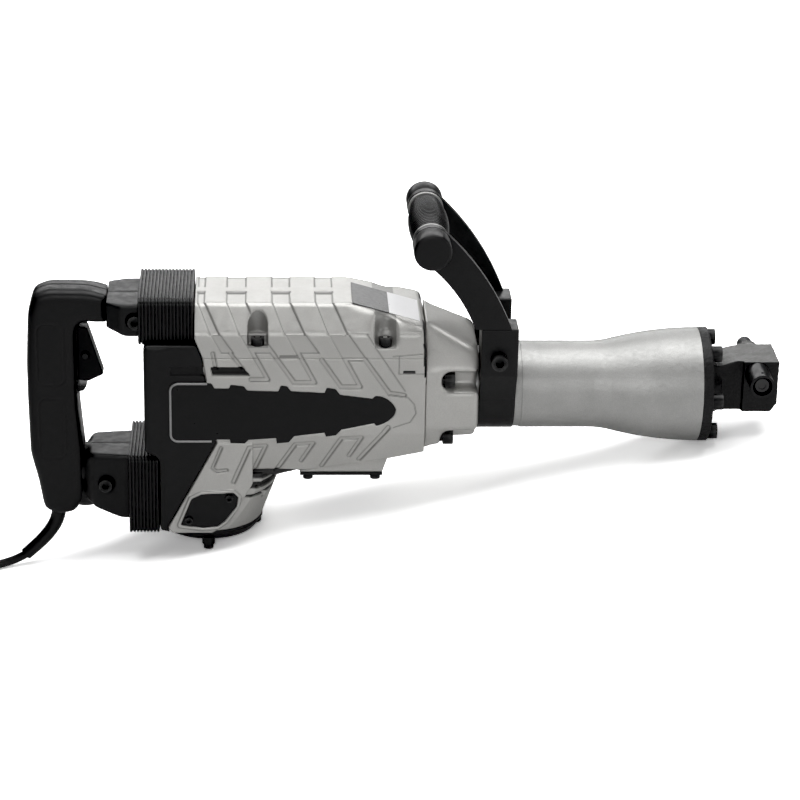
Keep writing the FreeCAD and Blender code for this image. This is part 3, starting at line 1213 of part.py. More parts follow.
os.makedirs("parts", exist_ok=True)
for piece in sub_parts:
    piece.Shape.exportStep(f"parts/{piece.Label}.step")
print(len(sub_parts), "sub-parts written")
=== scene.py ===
"""The look of the electric jackhammer: castings with their relief, mouldings, bare metal and rubber.

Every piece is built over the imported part, in its frame (metres).  Lengths below are in millimetres and
are turned into metres by MM.  +X runs out of the nose, +Z towards the side handle, -Y to the camera.
"""

import json
import math

import bmesh
import bpy
import numpy as np
from mathutils import Matrix, Vector


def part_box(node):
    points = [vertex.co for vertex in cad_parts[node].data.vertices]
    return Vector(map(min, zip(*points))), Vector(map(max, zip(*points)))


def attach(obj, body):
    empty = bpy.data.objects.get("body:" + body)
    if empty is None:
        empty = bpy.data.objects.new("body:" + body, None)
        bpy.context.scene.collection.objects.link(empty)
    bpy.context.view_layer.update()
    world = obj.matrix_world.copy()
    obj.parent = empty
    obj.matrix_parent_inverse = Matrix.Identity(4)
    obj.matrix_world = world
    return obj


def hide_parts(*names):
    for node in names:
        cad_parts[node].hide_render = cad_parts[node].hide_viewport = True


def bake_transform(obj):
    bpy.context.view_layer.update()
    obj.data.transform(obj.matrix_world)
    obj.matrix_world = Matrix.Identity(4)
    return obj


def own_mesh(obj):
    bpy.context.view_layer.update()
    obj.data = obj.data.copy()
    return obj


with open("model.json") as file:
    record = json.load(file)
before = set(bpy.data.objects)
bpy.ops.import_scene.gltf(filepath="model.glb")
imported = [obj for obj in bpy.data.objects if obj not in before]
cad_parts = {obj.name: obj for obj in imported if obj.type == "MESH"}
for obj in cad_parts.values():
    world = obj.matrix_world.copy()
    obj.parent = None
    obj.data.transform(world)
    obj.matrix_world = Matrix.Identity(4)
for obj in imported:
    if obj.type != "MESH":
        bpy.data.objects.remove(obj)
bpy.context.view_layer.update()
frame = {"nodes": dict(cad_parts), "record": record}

MM = 0.001
SEAM_WIDTH = 0.6          # mould seam on the black handle parts
record = frame["record"]
BODY_OF = {node: body for body, nodes in record["behaviour"]["bodies"].items() for node in nodes}
SLOT_OF = {entry["node"]: entry["material_slot"] for entry in record["subparts"]}


# ------------------------------------------------------------------ materials

def new_material(name):
    """An empty material, with its nodes and links."""
    made = bpy.data.materials.new(name)
    made.use_nodes = True
    made.node_tree.nodes.clear()
    return made, made.node_tree.nodes, made.node_tree.links


def noise(nodes, links, coordinates, scale, detail=4.0, stretch=(1, 1, 1)):
    """Noise over the object's own coordinates; the stretch makes streaks along an axis."""
    mapping = nodes.new("ShaderNodeMapping")
    mapping.inputs["Scale"].default_value = stretch
    links.new(coordinates, mapping.inputs["Vector"])
    made = nodes.new("ShaderNodeTexNoise")
    made.inputs["Scale"].default_value = scale
    made.inputs["Detail"].default_value = detail
    links.new(mapping.outputs["Vector"], made.inputs["Vector"])
    return made.outputs["Fac"]


def ramp(nodes, links, value, low, high, first, last):
    """Maps a value from one range to another and holds it at the ends."""
    made = nodes.new("ShaderNodeMapRange")
    made.inputs["From Min"].default_value = low
    made.inputs["From Max"].default_value = high
    made.inputs["To Min"].default_value = first
    made.inputs["To Max"].default_value = last
    links.new(value, made.inputs["Value"])
    return made.outputs["Result"]


def blend_colours(nodes, links, factor, first, last):
    """Mixes two colours, each given as numbers or as a socket."""
    made = nodes.new("ShaderNodeMix")
    made.data_type = "RGBA"
    for socket, colour in ((made.inputs[6], first), (made.inputs[7], last)):
        if isinstance(colour, tuple):
            socket.default_value = (*colour, 1)
        else:
            links.new(colour, socket)
    links.new(factor, made.inputs[0])
    return made.outputs[2]


def surface(name, colour, roughness, metallic=0.0, grain=900, bump=0.12, patch=0.08, wear=None,
            wear_start=0.53, stretch=(1, 1, 1), brushed=0.0, specular=0.5, line=None, cast=0.0):
    """A finish with patches, fine grain, uneven roughness, worn edges and optional brushing, plus optional
    painted light and shade: the line colour, mixed in by the line attribute.
    """
    made, nodes, links = new_material(name)
    output = nodes.new("ShaderNodeOutputMaterial")
    shader = nodes.new("ShaderNodeBsdfPrincipled")
    links.new(shader.outputs["BSDF"], output.inputs["Surface"])
    coordinates = nodes.new("ShaderNodeTexCoord").outputs["Object"]

    patches = noise(nodes, links, coordinates, 28, 5)
    fine = noise(nodes, links, coordinates, grain, 3, stretch)
    middle = noise(nodes, links, coordinates, grain / 6, 4, stretch)
    dark = tuple(channel * (1 - patch) for channel in colour)
    tone = blend_colours(nodes, links, ramp(nodes, links, patches, 0.35, 0.65, 0, 1), dark, colour)
    speck = ramp(nodes, links, fine, 0.3, 0.7, 1 - patch, 1 + patch)
    speckled = nodes.new("ShaderNodeVectorMath")
    speckled.operation = "SCALE"
    links.new(tone, speckled.inputs[0])
    links.new(speck, speckled.inputs["Scale"])
    tone = speckled.outputs["Vector"]
    if wear is not None:
        edges = nodes.new("ShaderNodeNewGeometry").outputs["Pointiness"]
        sharp = ramp(nodes, links, edges, wear_start, wear_start + 0.07, 0, 1)
        broken = nodes.new("ShaderNodeMath")
        broken.operation = "MULTIPLY"
        broken.use_clamp = True
        links.new(sharp, broken.inputs[0])
        links.new(ramp(nodes, links, middle, 0.35, 0.6, 0.1, 1), broken.inputs[1])
        tone = blend_colours(nodes, links, broken.outputs["Value"], tone, wear)
    # painted light and shade: the line attribute mixes the line colour into the base colour (painted shade on
    # the castings, painted highlight on the nose's upward faces)
    if line is not None:
        painted_shading_node = nodes.new("ShaderNodeAttribute")
        painted_shading_node.attribute_name = "line"
        tone = blend_colours(nodes, links, painted_shading_node.outputs["Fac"], tone, line)
    links.new(tone, shader.inputs["Base Color"])

    links.new(ramp(nodes, links, middle, 0.25, 0.75, max(roughness - 0.09, 0.03), roughness + 0.09),
              shader.inputs["Roughness"])
    shader.inputs["Metallic"].default_value = metallic
    shader.inputs["Specular IOR Level"].default_value = specular
    if brushed:
        shader.inputs["Anisotropic"].default_value = brushed
    relief = nodes.new("ShaderNodeBump")
    relief.inputs["Strength"].default_value = bump
    relief.inputs["Distance"].default_value = 0.0004
    links.new(fine, relief.inputs["Height"])
    last = relief
    if cast:
        rough = nodes.new("ShaderNodeBump")
        rough.inputs["Strength"].default_value = cast
        rough.inputs["Distance"].default_value = 0.001
        links.new(noise(nodes, links, coordinates, 260, 5), rough.inputs["Height"])
        links.new(relief.outputs["Normal"], rough.inputs["Normal"])
        last = rough
    links.new(last.outputs["Normal"], shader.inputs["Normal"])
    return made


FINISH = {
    "grey_paint": surface("silver_grey_casting", (0.56, 0.555, 0.535), 0.40, metallic=0.45, grain=1100,
                          bump=0.22, patch=0.06, wear=(0.72, 0.715, 0.70), wear_start=0.545,
                          # line: colour of the painted shade in the castings' grooves, slots, openings and
                          # pockets
                          line=(0.02, 0.02, 0.02), cast=0.05),
    "bare_aluminium": surface("blasted_aluminium", (0.47, 0.47, 0.46), 0.46, metallic=0.60, grain=1500,
                              bump=0.30, patch=0.12, cast=0.09),
    "black_iron": surface("black_cast_iron", (0.014, 0.014, 0.0145), 0.42, grain=600, bump=0.5, patch=0.3,
                          # line: colour of the painted highlight on the nose's upward faces
                          wear=(0.30, 0.30, 0.29), wear_start=0.56, specular=0.30, line=(0.20, 0.20, 0.195),
                          cast=0.6),
    "black_paint": surface("satin_black_paint", (0.011, 0.011, 0.0115), 0.36, grain=800, bump=0.12,
                           patch=0.15, specular=0.32, cast=0.08),
    "steel": surface("ground_steel", (0.50, 0.50, 0.49), 0.28, metallic=1.0, grain=1400, bump=0.1, patch=0.08,
                     brushed=0.4),
    "black_oxide": surface("black_oxide_steel", (0.010, 0.010, 0.0105), 0.38, metallic=0.1, grain=1200,
                           bump=0.15, patch=0.2, wear=(0.08, 0.08, 0.08), wear_start=0.60, specular=0.30),
    "laminations": surface("lamination_stack", (0.30, 0.29, 0.27), 0.45, metallic=0.9, grain=300, bump=0.5,
                           patch=0.12, stretch=(1, 1, 9)),
    "copper": surface("lacquered_copper", (0.55, 0.22, 0.09), 0.30, metallic=0.9, grain=500, bump=0.4,
                      patch=0.2, stretch=(6, 6, 1)),
    "brush_brass": surface("stamped_brass", (0.60, 0.43, 0.16), 0.33, metallic=1.0, grain=900, bump=0.12),
    "graphite": surface("pressed_carbon", (0.035, 0.035, 0.036), 0.5, metallic=0.2, grain=1500, bump=0.3),
    "gasket": surface("gasket_paper", (0.05, 0.048, 0.045), 0.8, grain=700, bump=0.3),
    "black_plastic": surface("black_moulding", (0.009, 0.009, 0.0095), 0.40, grain=900, bump=0.08, patch=0.1,
                             specular=0.34, cast=0.03),
    "trigger_plastic": surface("smooth_black_plastic", (0.008, 0.008, 0.0085), 0.42, grain=1800, bump=0.08,
                               specular=0.18),
    "panel": surface("satin_panel_film", (0.010, 0.010, 0.0105), 0.36, grain=700, bump=0.01, patch=0.1,
                     specular=0.30),
    "soft_rubber": surface("moulded_rubber", (0.010, 0.010, 0.0105), 0.36, grain=1300, bump=0.2, patch=0.12,
                           specular=0.36),
    "dark_pin": surface("oiled_pin_steel", (0.06, 0.06, 0.06), 0.38, metallic=0.6, grain=900, bump=0.1),
    "rim": surface("panel_rim", (0.33, 0.33, 0.33), 0.35, metallic=0.3, grain=1500, bump=0.05),
    "grey_label": surface("grey_label_film", (0.09, 0.09, 0.09), 0.35, grain=1500, bump=0.03, patch=0.03),
    "white_label": surface("white_label_film", (0.85, 0.85, 0.86), 0.35, grain=1500, bump=0.03, patch=0.03),
}


# ------------------------------------------------------------------ shared tools

def put(name, mesh, body, material_slot, *nodes, smooth=True):
    """Links a mesh as a piece that rides on a body and stands for CAD nodes."""
    obj = bpy.data.objects.new(name, mesh)
    bpy.context.scene.collection.objects.link(obj)
    mesh.materials.clear()
    mesh.materials.append(FINISH[material_slot])
    if smooth:
        mesh.polygons.foreach_set("use_smooth", [True] * len(mesh.polygons))
    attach(obj, body)
    if nodes:
        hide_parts(*nodes)
    return obj


def evaluated_mesh(obj):
    """A plain mesh of an object with its modifiers worked in."""
    bpy.context.view_layer.update()
    seen = obj.evaluated_get(bpy.context.evaluated_depsgraph_get())
    return bpy.data.meshes.new_from_object(seen)


def with_modifiers(mesh, *settings):
    """The mesh after a row of modifiers, each given as (kind, values)."""
    holder = bpy.data.objects.new("holder", mesh)
    bpy.context.scene.collection.objects.link(holder)
    for kind, values in settings:
        modifier = holder.modifiers.new(kind.lower(), kind)
        for key, value in values.items():
            setattr(modifier, key, value)
    made = evaluated_mesh(holder)
    bpy.data.objects.remove(holder)
    return made


def node_mesh(node):
    """A copy of a CAD node's mesh."""
    return frame["nodes"][node].data.copy()


def box_mm(node):
    """Lowest and highest corner of a CAD node, in millimetres."""
    low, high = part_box(node)
    return np.array(low) / MM, np.array(high) / MM


def dressed(obj, finish):
    """Gives a piece another finish than its slot's."""
    obj.data.materials.clear()
    obj.data.materials.append(FINISH[finish])


def remeshed(mesh, voxel, smoothing=2):
    """An even skin of small faces; its edges come out rounded by about one voxel."""
    size = voxel * MM * 1.0
    return with_modifiers(mesh, ("REMESH", {"mode": "VOXEL", "voxel_size": size, "use_smooth_shade": True}),
                          ("SMOOTH", {"factor": 0.5, "iterations": smoothing}))


def filled(mesh, boxes):
    """The mesh with closed boxes laid into its hollows, so that a remesh leaves only the outside."""
    work = bmesh.new()
    work.from_mesh(mesh)
    for low, high in boxes:
        middle = (Vector(low) + Vector(high)) / 2 * MM
        size = (Vector(high) - Vector(low)) * MM
        bmesh.ops.create_cube(work, size=1, matrix=Matrix.Translation(middle) @ Matrix.Diagonal((*size, 1)))
    work.to_mesh(mesh)
    work.free()
    return mesh


def points_of(mesh):
    """The vertices of a mesh, in millimetres."""
    spots = np.zeros(len(mesh.vertices) * 3)
    mesh.vertices.foreach_get("co", spots)
    return spots.reshape(-1, 3) / MM


def set_points(mesh, spots):
    """Moves the vertices of a mesh to places given in millimetres."""
    mesh.vertices.foreach_set("co", (spots * MM).ravel())
    mesh.update()


def smooth_step(value, low, high):
    """Rises softly from 0 to 1 between two values."""
    t = np.clip((value - low) / (high - low), 0, 1)
    return t * t * (3 - 2 * t)


def path_distance(x, y, path):
    """Distance of each point from a chain of straight lines."""
    best = np.full(x.shape, 1e9)
    for (x0, y0), (x1, y1) in zip(path, path[1:]):
        dx, dy = x1 - x0, y1 - y0
        t = np.clip(((x - x0) * dx + (y - y0) * dy) / (dx * dx + dy * dy), 0, 1)
        best = np.minimum(best, np.hypot(x - x0 - t * dx, y - y0 - t * dy))
    return best


def inside_outline(x, y, corners):
    """Which points lie inside a closed outline."""
    inside = np.zeros(x.shape, bool)
    for (x0, y0), (x1, y1) in zip(corners, corners[1:] + corners[:1]):
        if y0 == y1:
            continue
        crossing = (y0 > y) != (y1 > y)
        inside ^= crossing & (x < x0 + (y - y0) * (x1 - x0) / (y1 - y0))
    return inside


def relaxed(mesh, weight, rounds):
    """Smooths the skin by the given weight of each vertex, which rounds edges over a wide band."""
    rounds = rounds
    spots = points_of(mesh)
    ends = np.zeros(len(mesh.edges) * 2, np.int32)
    mesh.edges.foreach_get("vertices", ends)
    first, second = ends.reshape(-1, 2).T
    count = len(spots)
    degree = np.maximum(np.bincount(first, minlength=count) + np.bincount(second, minlength=count), 1)
    for _ in range(rounds):
        for axis in range(3):
            level = spots[:, axis]
            total = np.bincount(first, level[second], count) + np.bincount(second, level[first], count)
            spots[:, axis] = level + 0.5 * weight * (total / degree - level)
    set_points(mesh, spots)


def seam_depth(spots, middle, depth):
    """Sinks a mould seam along the middle plane, towards the given middle of the piece."""
    away = spots - middle
    away[:, 1] = 0
    away /= np.maximum(np.linalg.norm(away, axis=1), 1e-6)[:, None]
    groove = np.exp(-(spots[:, 1] / SEAM_WIDTH) ** 2) * depth
    return away * groove[:, None]


def store_painted_shading(mesh, strength):
    """Stores per vertex the strength of the painted shade and painted highlight that the line colour mixes
    in.
    """
    attribute = mesh.attributes.new("line", "FLOAT", "POINT")
    attribute.data.foreach_set("value", strength.astype(np.float32))


def softened(node, name, width):
    """A copy of a CAD node with its sharp edges rounded."""
    mesh = with_modifiers(node_mesh(node), ("BEVEL", {
        "width": width * MM, "segments": 2, "limit_method": "ANGLE",
        "angle_limit": math.radians(35), "harden_normals": False, "use_clamp_overlap": True}))
    obj = put(name, mesh, BODY_OF[node], SLOT_OF[node], node)
    shade_by_angle(obj, 40)
    return obj


def shade_by_angle(obj, degrees):
    """Smooth shading that breaks at sharp edges."""
    mesh = obj.data
    mesh.polygons.foreach_set("use_smooth", [True] * len(mesh.polygons))
    mesh.set_sharp_from_angle(angle=math.radians(degrees))


# ------------------------------------------------------------------ castings

CASE_HALF = 59.0          # half width of the casting
LOW_BELT = -30.0          # height where the side turns in towards the sump
LOW_FACE = (0.970, -0.2425)       # outward direction (y, z) of the faces below it
BELT = 75.0               # height where the side turns into the slope
TOP = 100.0               # height of the flat top
TOP_HALF = 39.0           # half width of the flat top
SLOPE = math.hypot(CASE_HALF - TOP_HALF, TOP - BELT)
SLOPE_OUT = ((TOP - BELT) / SLOPE, (CASE_HALF - TOP_HALF) / SLOPE)      # outward direction (y, z)
CASTING_VOXEL = 0.9       # size of the skin's faces
SLOPE_WAY = 30.2          # the slope's share of the way, as the relief is laid out
ROUND_THE_EDGE = BELT + SLOPE_WAY     # way up the side and slope to the flat top
MOTOR_HALF = 58.0         # half width of the motor side
MOTOR_AXIS_X = -566.0
BRUSH_COVER = [(-593, -128), (-571, -131), (-557, -129.5), (-550, -124), (-538, -108), (-536.5, -98),
               (-541, -93.5), (-572, -95), (-582, -100)]
VENT = [(-563, 40.5), (-532, 40.5), (-523.9, 31.4), (-561, 31.4)]       # opening beside the panel
COLUMN_LEFT = [-575.4, -547.2, -503.2, -461.0]      # recess columns on the flat top
COLUMN_RIGHT = [-568.5, -528.4, -485.6, -444.0]
ISLAND_TOP = [55, 55, 55, 47]
BAND_END = {1: 30.0, 2: 26.8, 3: 22.3}              # lower ends of the raised bands
BAND_FOOT = -523.5        # where the first band's channel ends
CHANNEL = 4.6             # width of the channels
REACH = CHANNEL / 2
DEPTH = 1.7               # depth of the recesses and channels
SKIN = 1.4                # a point this close to a face belongs to it
SPINE = ROUND_THE_EDGE + TOP_HALF - 6           # way at which the recesses stop short of the middle
LAST_BAND = [(-388.5, 13.2), (-374.0, 11.2)]        # foot of the last band's channel
EAR_LINES = ([(-560.4, 55), (-557.5, 38)], [(-543.5, 55), (-531.0, 38)])
LOWER_ARCHES = ((-525.5, -509.0, -45.2, 0.42, -82),      # left, right, top, lean and foot
                (-480.0, -462.4, -42.2, 0.60, -74),
                (-435.0, -415.0, -35.5, 0.58, -68))
DROP_LOOP = [(-552.8, -45), (-561.5, -67), (-557.0, -70.5), (-547.5, -69)]
TIP_CHANNEL = [(-389, -23), (-417, -60)]
SCRIBED = ([(-413, 79), (-403, 61.8), (-373.2, 15.6)],                       # edge of the last band
           [(-387, 11), (-370.1, 8.8), (-364.1, 1.9), (-362, -7.7), (-367.7, -17.3), (-384, -23)],
           [(-560, -45), (-586, -95)],                                       # edge by the rear cover
           [(-385.6, 52), (-356.5, 54.5)],                                   # seams at the front
           [(-379.6, 52), (-379.6, 33.5), (-355, 33.5)])
FRONT_GAP = [(-355.2, 80), (-353.2, 30)]
COWL_SLOTS = ((-76.5, 5.0, 34, 70),                      # level, half height, first and last degree
              (-88.5, 4.8, 32, 92),
              (-100.0, 2.2, 32, 92))
BOLT_HEAD = 6.5           # radius of the top cover's bolt heads
bolts_low, bolts_high = box_mm("top_cover_bolts")
BOLT_STATIONS = (bolts_low[0] + BOLT_HEAD, bolts_high[0] - BOLT_HEAD)


def lean(height, first, second):
    """Sideways shift of a groove as it runs down from the flat top."""
    down = np.clip(107 - height, 0, None)
    return first * np.minimum(down, 29) + second * np.clip(down - 29, 0, None)


def left_edge(k, height):
    """Left edge of recess column k at a height."""
    return COLUMN_LEFT[k] + lean(height, 0.38, 0.52)


def right_edge(k, height):
    """Right edge of recess column k at a height."""
    return COLUMN_RIGHT[k] + lean(height, 0.45, 0.68)


def recess_field(x, way):
    """Signed distance to the four wide recesses (negative inside)."""
    field = np.full(x.shape, 1e3)
    for k in range(4):
        inside = np.minimum((x - left_edge(k, way)) * 0.88, (right_edge(k, way) - x) * 0.84)
        inside = np.minimum(inside, np.minimum(way - ISLAND_TOP[k], SPINE - way))
        field = np.minimum(field, -inside)
    return field


def band_channels():
    """Middle lines of the channels round the raised bands of the upper side."""
    margin = REACH + 0.4
    paths = []
    for k, band_end in BAND_END.items():
        end = band_end - REACH
        start = ISLAND_TOP[k] + 1
        path = [(left_edge(k, start) + margin, start), (left_edge(k, end) + margin, end)]
        if k == 1:
            path.append((BAND_FOOT, end))
        else:
            path.append((right_edge(k - 1, end) - margin, end))
            path.append((right_edge(k - 1, start) - margin, start))
        paths.append(path)
    paths.append([(right_edge(3, 47.0) - margin, 48)] + LAST_BAND)
    return paths


def groove_field(x, way):
    """Signed distance to the recesses of the upper relief, over x and the way up."""
    field = recess_field(x, way)
    for path in band_channels():
        field = np.minimum(field, path_distance(x, way, path) - REACH)
    for path in EAR_LINES:
        field = np.minimum(field, path_distance(x, way, path) - REACH + 0.4)
    return field


def lower_field(x, z):
    """Signed distance to the channels below the panel."""
    field = np.full(x.shape, 1e3)
    for left, right, top, leaning, foot in LOWER_ARCHES:
        path = [(left + leaning * (foot - top), foot), (left, top), (right, top + 1.2),
                (right + leaning * (foot + 12 - top), foot + 12)]
        field = np.minimum(field, path_distance(x, z, path) - REACH + 0.2)
    field = np.minimum(field, path_distance(x, z, DROP_LOOP) - 1.6)
    return np.minimum(field, path_distance(x, z, TIP_CHANNEL) - REACH)


def thin_lines(x, z):
    """Distance to the nearest scribed line."""
    return np.minimum.reduce([path_distance(x, z, path) for path in SCRIBED])


def rounding(distance, tangent, radius):
    """How far a face sinks near an edge that is rounded to the given radius."""
    return np.clip(tangent - np.abs(distance), 0, None) ** 2 / (2 * radius)


def cowl_slots(x, y, z):
    """Signed distance to the air slots round the front of the motor cowl (negative inside)."""
    turn = np.degrees(np.arctan2(x - MOTOR_AXIS_X, np.abs(y)))
    field = np.full(x.shape, 1e3)
    for level, height, start, end in COWL_SLOTS:
        share = np.clip((turn - start) / (end - start), 0, 1)
        half = height * np.sin(math.pi * share) ** 0.5
        along = np.maximum(start - turn, turn - end)
        field = np.minimum(field, np.maximum(np.abs(z - level) - half, along))
    return field


def within(value, low, high):
    """Which values lie between two limits."""
    return (value > low) & (value < high)


def face_masks(x, y, z):
    """Which points lie on each outer face of the casting, and how far they stand over the slope."""
    wide = np.abs(y)
    low_gap = (CASE_HALF - wide) * LOW_FACE[0] + (z - LOW_BELT) * -LOW_FACE[1]
    over_slope = (wide - CASE_HALF) * SLOPE_OUT[0] + (z - BELT) * SLOPE_OUT[1]
    masks = {
        "side": (wide > CASE_HALF - SKIN) & within(z, LOW_BELT, BELT + 1),
        "lower": (low_gap < 1.5) & (z <= LOW_BELT) & (z > -82),
        "motor": (wide > MOTOR_HALF - SKIN) & (z <= LOW_BELT) & (x < -521),
        "slope": (np.abs(over_slope) < 1.5) & within(z, BELT - 1, TOP + 0.5) & (x < -427),
        "flat": (z > TOP - 0.9) & (wide < TOP_HALF + 1.5),
    }
    return masks, over_slope


def inward_way(y, masks):
    """The direction into the metal for each point."""
    slanted = masks["lower"] & ~masks["motor"]
    upright = masks["side"] | masks["lower"] | masks["motor"]
    inward = np.zeros((len(y), 3))
    flat_on = np.where(slanted, LOW_FACE[0], np.where(upright, 1, 0))
    inward[:, 1] = -np.sign(y) * np.where(masks["slope"], SLOPE_OUT[0], flat_on)
    inward[:, 2] = np.where(masks["slope"], -SLOPE_OUT[1], np.where(masks["flat"], -1, 0))
    inward[:, 2] -= np.where(slanted, LOW_FACE[1], 0)
    return inward


def carve(mesh):
    """Sinks the relief into the outer faces of a casting and rounds its long edges; also stores painted shade
    for its grooves, scribed lines, slots, openings and bolt pockets.
    """
    spots = points_of(mesh)
    x, y, z = spots.T
    wide = np.abs(y)
    masks, over_slope = face_masks(x, y, z)
    side, slope, flat, motor = (masks[name] for name in ("side", "slope", "flat", "motor"))
    upright = side | masks["lower"] | motor
    outside = upright | slope | flat
    climb = np.hypot(wide - CASE_HALF, z - BELT) * SLOPE_WAY / SLOPE
    way = np.where(flat, ROUND_THE_EDGE + TOP_HALF - wide, np.where(slope, BELT + climb, z))

    field = np.where(way > 0, groove_field(x, way), lower_field(x, z))
    scribed = thin_lines(x, z)
    in_vent = inside_outline(x, z, VENT) & side
    notch = within(x, -496, -478) & within(z, 49.8, 53.3) & side
    small_slot = within(x, -375.6, -363.9) & within(z, 34.1, 36.7) & side
    front_gap = (path_distance(x, z, FRONT_GAP) < 1.4) & (wide > 30) & (z > 30)
    rim_gap = path_distance(x, z, BRUSH_COVER + BRUSH_COVER[:1])
    on_rim = motor & ~inside_outline(x, z, BRUSH_COVER) & (z < -70)
    slots = cowl_slots(x, y, z)
    on_cowl = (x > -540) & within(z, -128, -68) & ~motor

    depth = DEPTH * (1 - smooth_step(field, -0.75, 0.75)) * outside
    depth += 0.6 * (1 - smooth_step(scribed, 0.2, 0.8)) * upright
    long_edges = rounding(way - BELT, 4.6, 14) + rounding(way - ROUND_THE_EDGE, 4.1, 8)
    depth += long_edges * (side | slope | flat)
    depth += 5.0 * in_vent + 1.4 * notch + 1.8 * small_slot + 2.0 * (front_gap & upright)
    depth -= 1.3 * (1 - smooth_step(rim_gap, 2.9, 3.8)) * on_rim
    sink = 4.0 * (1 - smooth_step(slots, -0.8, 0.4)) * on_cowl
    from_axis = np.stack([x - MOTOR_AXIS_X, y, np.zeros_like(x)], 1)
    from_axis /= np.maximum(np.linalg.norm(from_axis, axis=1), 1)[:, None]
    set_points(mesh, spots + inward_way(y, masks) * depth[:, None] - from_axis * sink[:, None])

    beyond = way - SPINE
    # painted shade at the recess ends by the spine, on the near side only
    recess_end_shade = within(beyond, -5.0, 0.5) & flat & (field < 0.8) & (y < 0)
    shades = [
        # painted shade: a thin dark line along the groove edges, partly darker paint in the grooves
        0.55 * np.exp(-(np.abs(field + 0.4) / 0.45) ** 2) * outside,
        # painted shade on the recess floors
        0.02 * (1 - smooth_step(field, -1.2, 0)) * outside,
        # painted shade in the scribed lines
        0.60 * np.exp(-(scribed / 0.5) ** 2) * upright,
        0.60 * recess_end_shade,
        # painted shade inside the vent, the small slot, the front gap and the notch
        1.00 * (in_vent | small_slot | front_gap) + 0.5 * notch,
        # painted shade in the cowl's air slots
        0.95 * (1 - smooth_step(slots, -0.4, 0.6)) * on_cowl,
        # painted shade in the gap round the brush cover
        0.50 * np.exp(-(np.abs(rim_gap - 3.4) / 0.5) ** 2) * on_rim,
    ]
    for bolt_x in BOLT_STATIONS:
        # painted shade inside the bolt pockets
        pocket_shade = (np.abs(x - bolt_x) < 10.5) & within(z, 60, TOP) & (over_slope < -1.6)
        shades.append(0.45 * pocket_shade)
    store_painted_shading(mesh, np.maximum.reduce(shades))
    return mesh


# boxes, by their low and high corners, that fill the hollow insides
CHAMBER_HOLLOWS = (((-590, -47, -76), (-480, 47, 40)),
                   ((-490, -47, -44), (-365, 47, 40)),
                   ((-600, -44, -128), (-532, 44, 20)),
                   ((-470, -32, -79), (-398, 32, 0)),
                   ((-420, -36, -36), (-356, 36, 36)))
LID_HOLLOWS = (((-570, -50, 51), (-365, 50, 72)),
               ((-570, -38, 51), (-440, 38, 95)))


def castings():
    """The grey housings: solid skins with the relief sunk in and the front part well rounded."""
    chamber = remeshed(filled(node_mesh("main_housing"), CHAMBER_HOLLOWS), CASTING_VOXEL)
    x, _, z = points_of(chamber).T
    relaxed(chamber, np.clip(1 - np.abs(z - LOW_BELT) / 9, 0, 1) * within(x, -520, -375), 24)
    put("main_housing_skin", carve(chamber), "hammer_body", "grey_paint", "main_housing")

    lid = remeshed(filled(node_mesh("top_cover"), LID_HOLLOWS), CASTING_VOXEL)
    x, _, z = points_of(lid).T
    relaxed(lid, smooth_step(x, -436, -420) * smooth_step(z, 58, 66), 130)
    put("top_cover_skin", carve(lid), "hammer_body", "grey_paint", "top_cover")

    front = remeshed(node_mesh("front_housing"), CASTING_VOXEL, 4)
    x = points_of(front)[:, 0]
    relaxed(front, smooth_step(x, -352, -344), 140)
    store_painted_shading(front, np.zeros(len(x)))
    put("front_housing_skin", front, "hammer_body", "grey_paint", "front_housing")


# ------------------------------------------------------------------ mouldings

HANDLE_VOXEL = 1.0        # size of the skins' faces
GRIP_MIDDLE = np.array([-700.0, 0, 0])


def bridged(mesh, blocks):
    """Adds closed ellipsoids to the mesh, given as (centre, half sizes)."""
    work = bmesh.new()
    work.from_mesh(mesh)
    for centre, half in blocks:
        bmesh.ops.create_icosphere(work, subdivisions=4, radius=1, matrix=Matrix.Translation(
            Vector(centre) * MM) @ Matrix.Diagonal((*(Vector(half) * MM), 1)))
    work.to_mesh(mesh)
    work.free()


def pad_outlines(x, y, z):
    """How strongly each point lies on the rounded outline of one of the grip's two pads."""
    half_width, half_height, corner = 13, 32, 8
    strength = np.zeros(len(x))
    for middle in (38.0, -40.0):
        across = np.abs(x + 720) - half_width
        along = np.abs(z - middle) - half_height
        straight = np.maximum(across, along)
        bend = np.hypot(np.maximum(across + corner, 0), np.maximum(along + corner, 0)) - corner
        edge = np.where((across > -corner) & (along > -corner), bend, straight)
        strength += np.exp(-(edge / 0.7) ** 2) * (np.abs(y) > 10)
    return strength


def grip():
    """The D-handle grip: rounded all over, with the mould seam and two faint pads on each side."""
    mesh = remeshed(node_mesh("grip_halves"), HANDLE_VOXEL, 6)
    x, _, z = points_of(mesh).T
    relaxed(mesh, 1 - 0.9 * smooth_step(x, -684, -674) * (z > 50), 90)
    spots = points_of(mesh)
    seam = seam_depth(spots, GRIP_MIDDLE, 0.8)
    spots[:, 1] -= np.sign(spots[:, 1]) * 0.5 * pad_outlines(*spots.T)
    set_points(mesh, spots - seam)
    put("grip_skin", mesh, BODY_OF["grip_halves"], "black_plastic", "grip_halves")


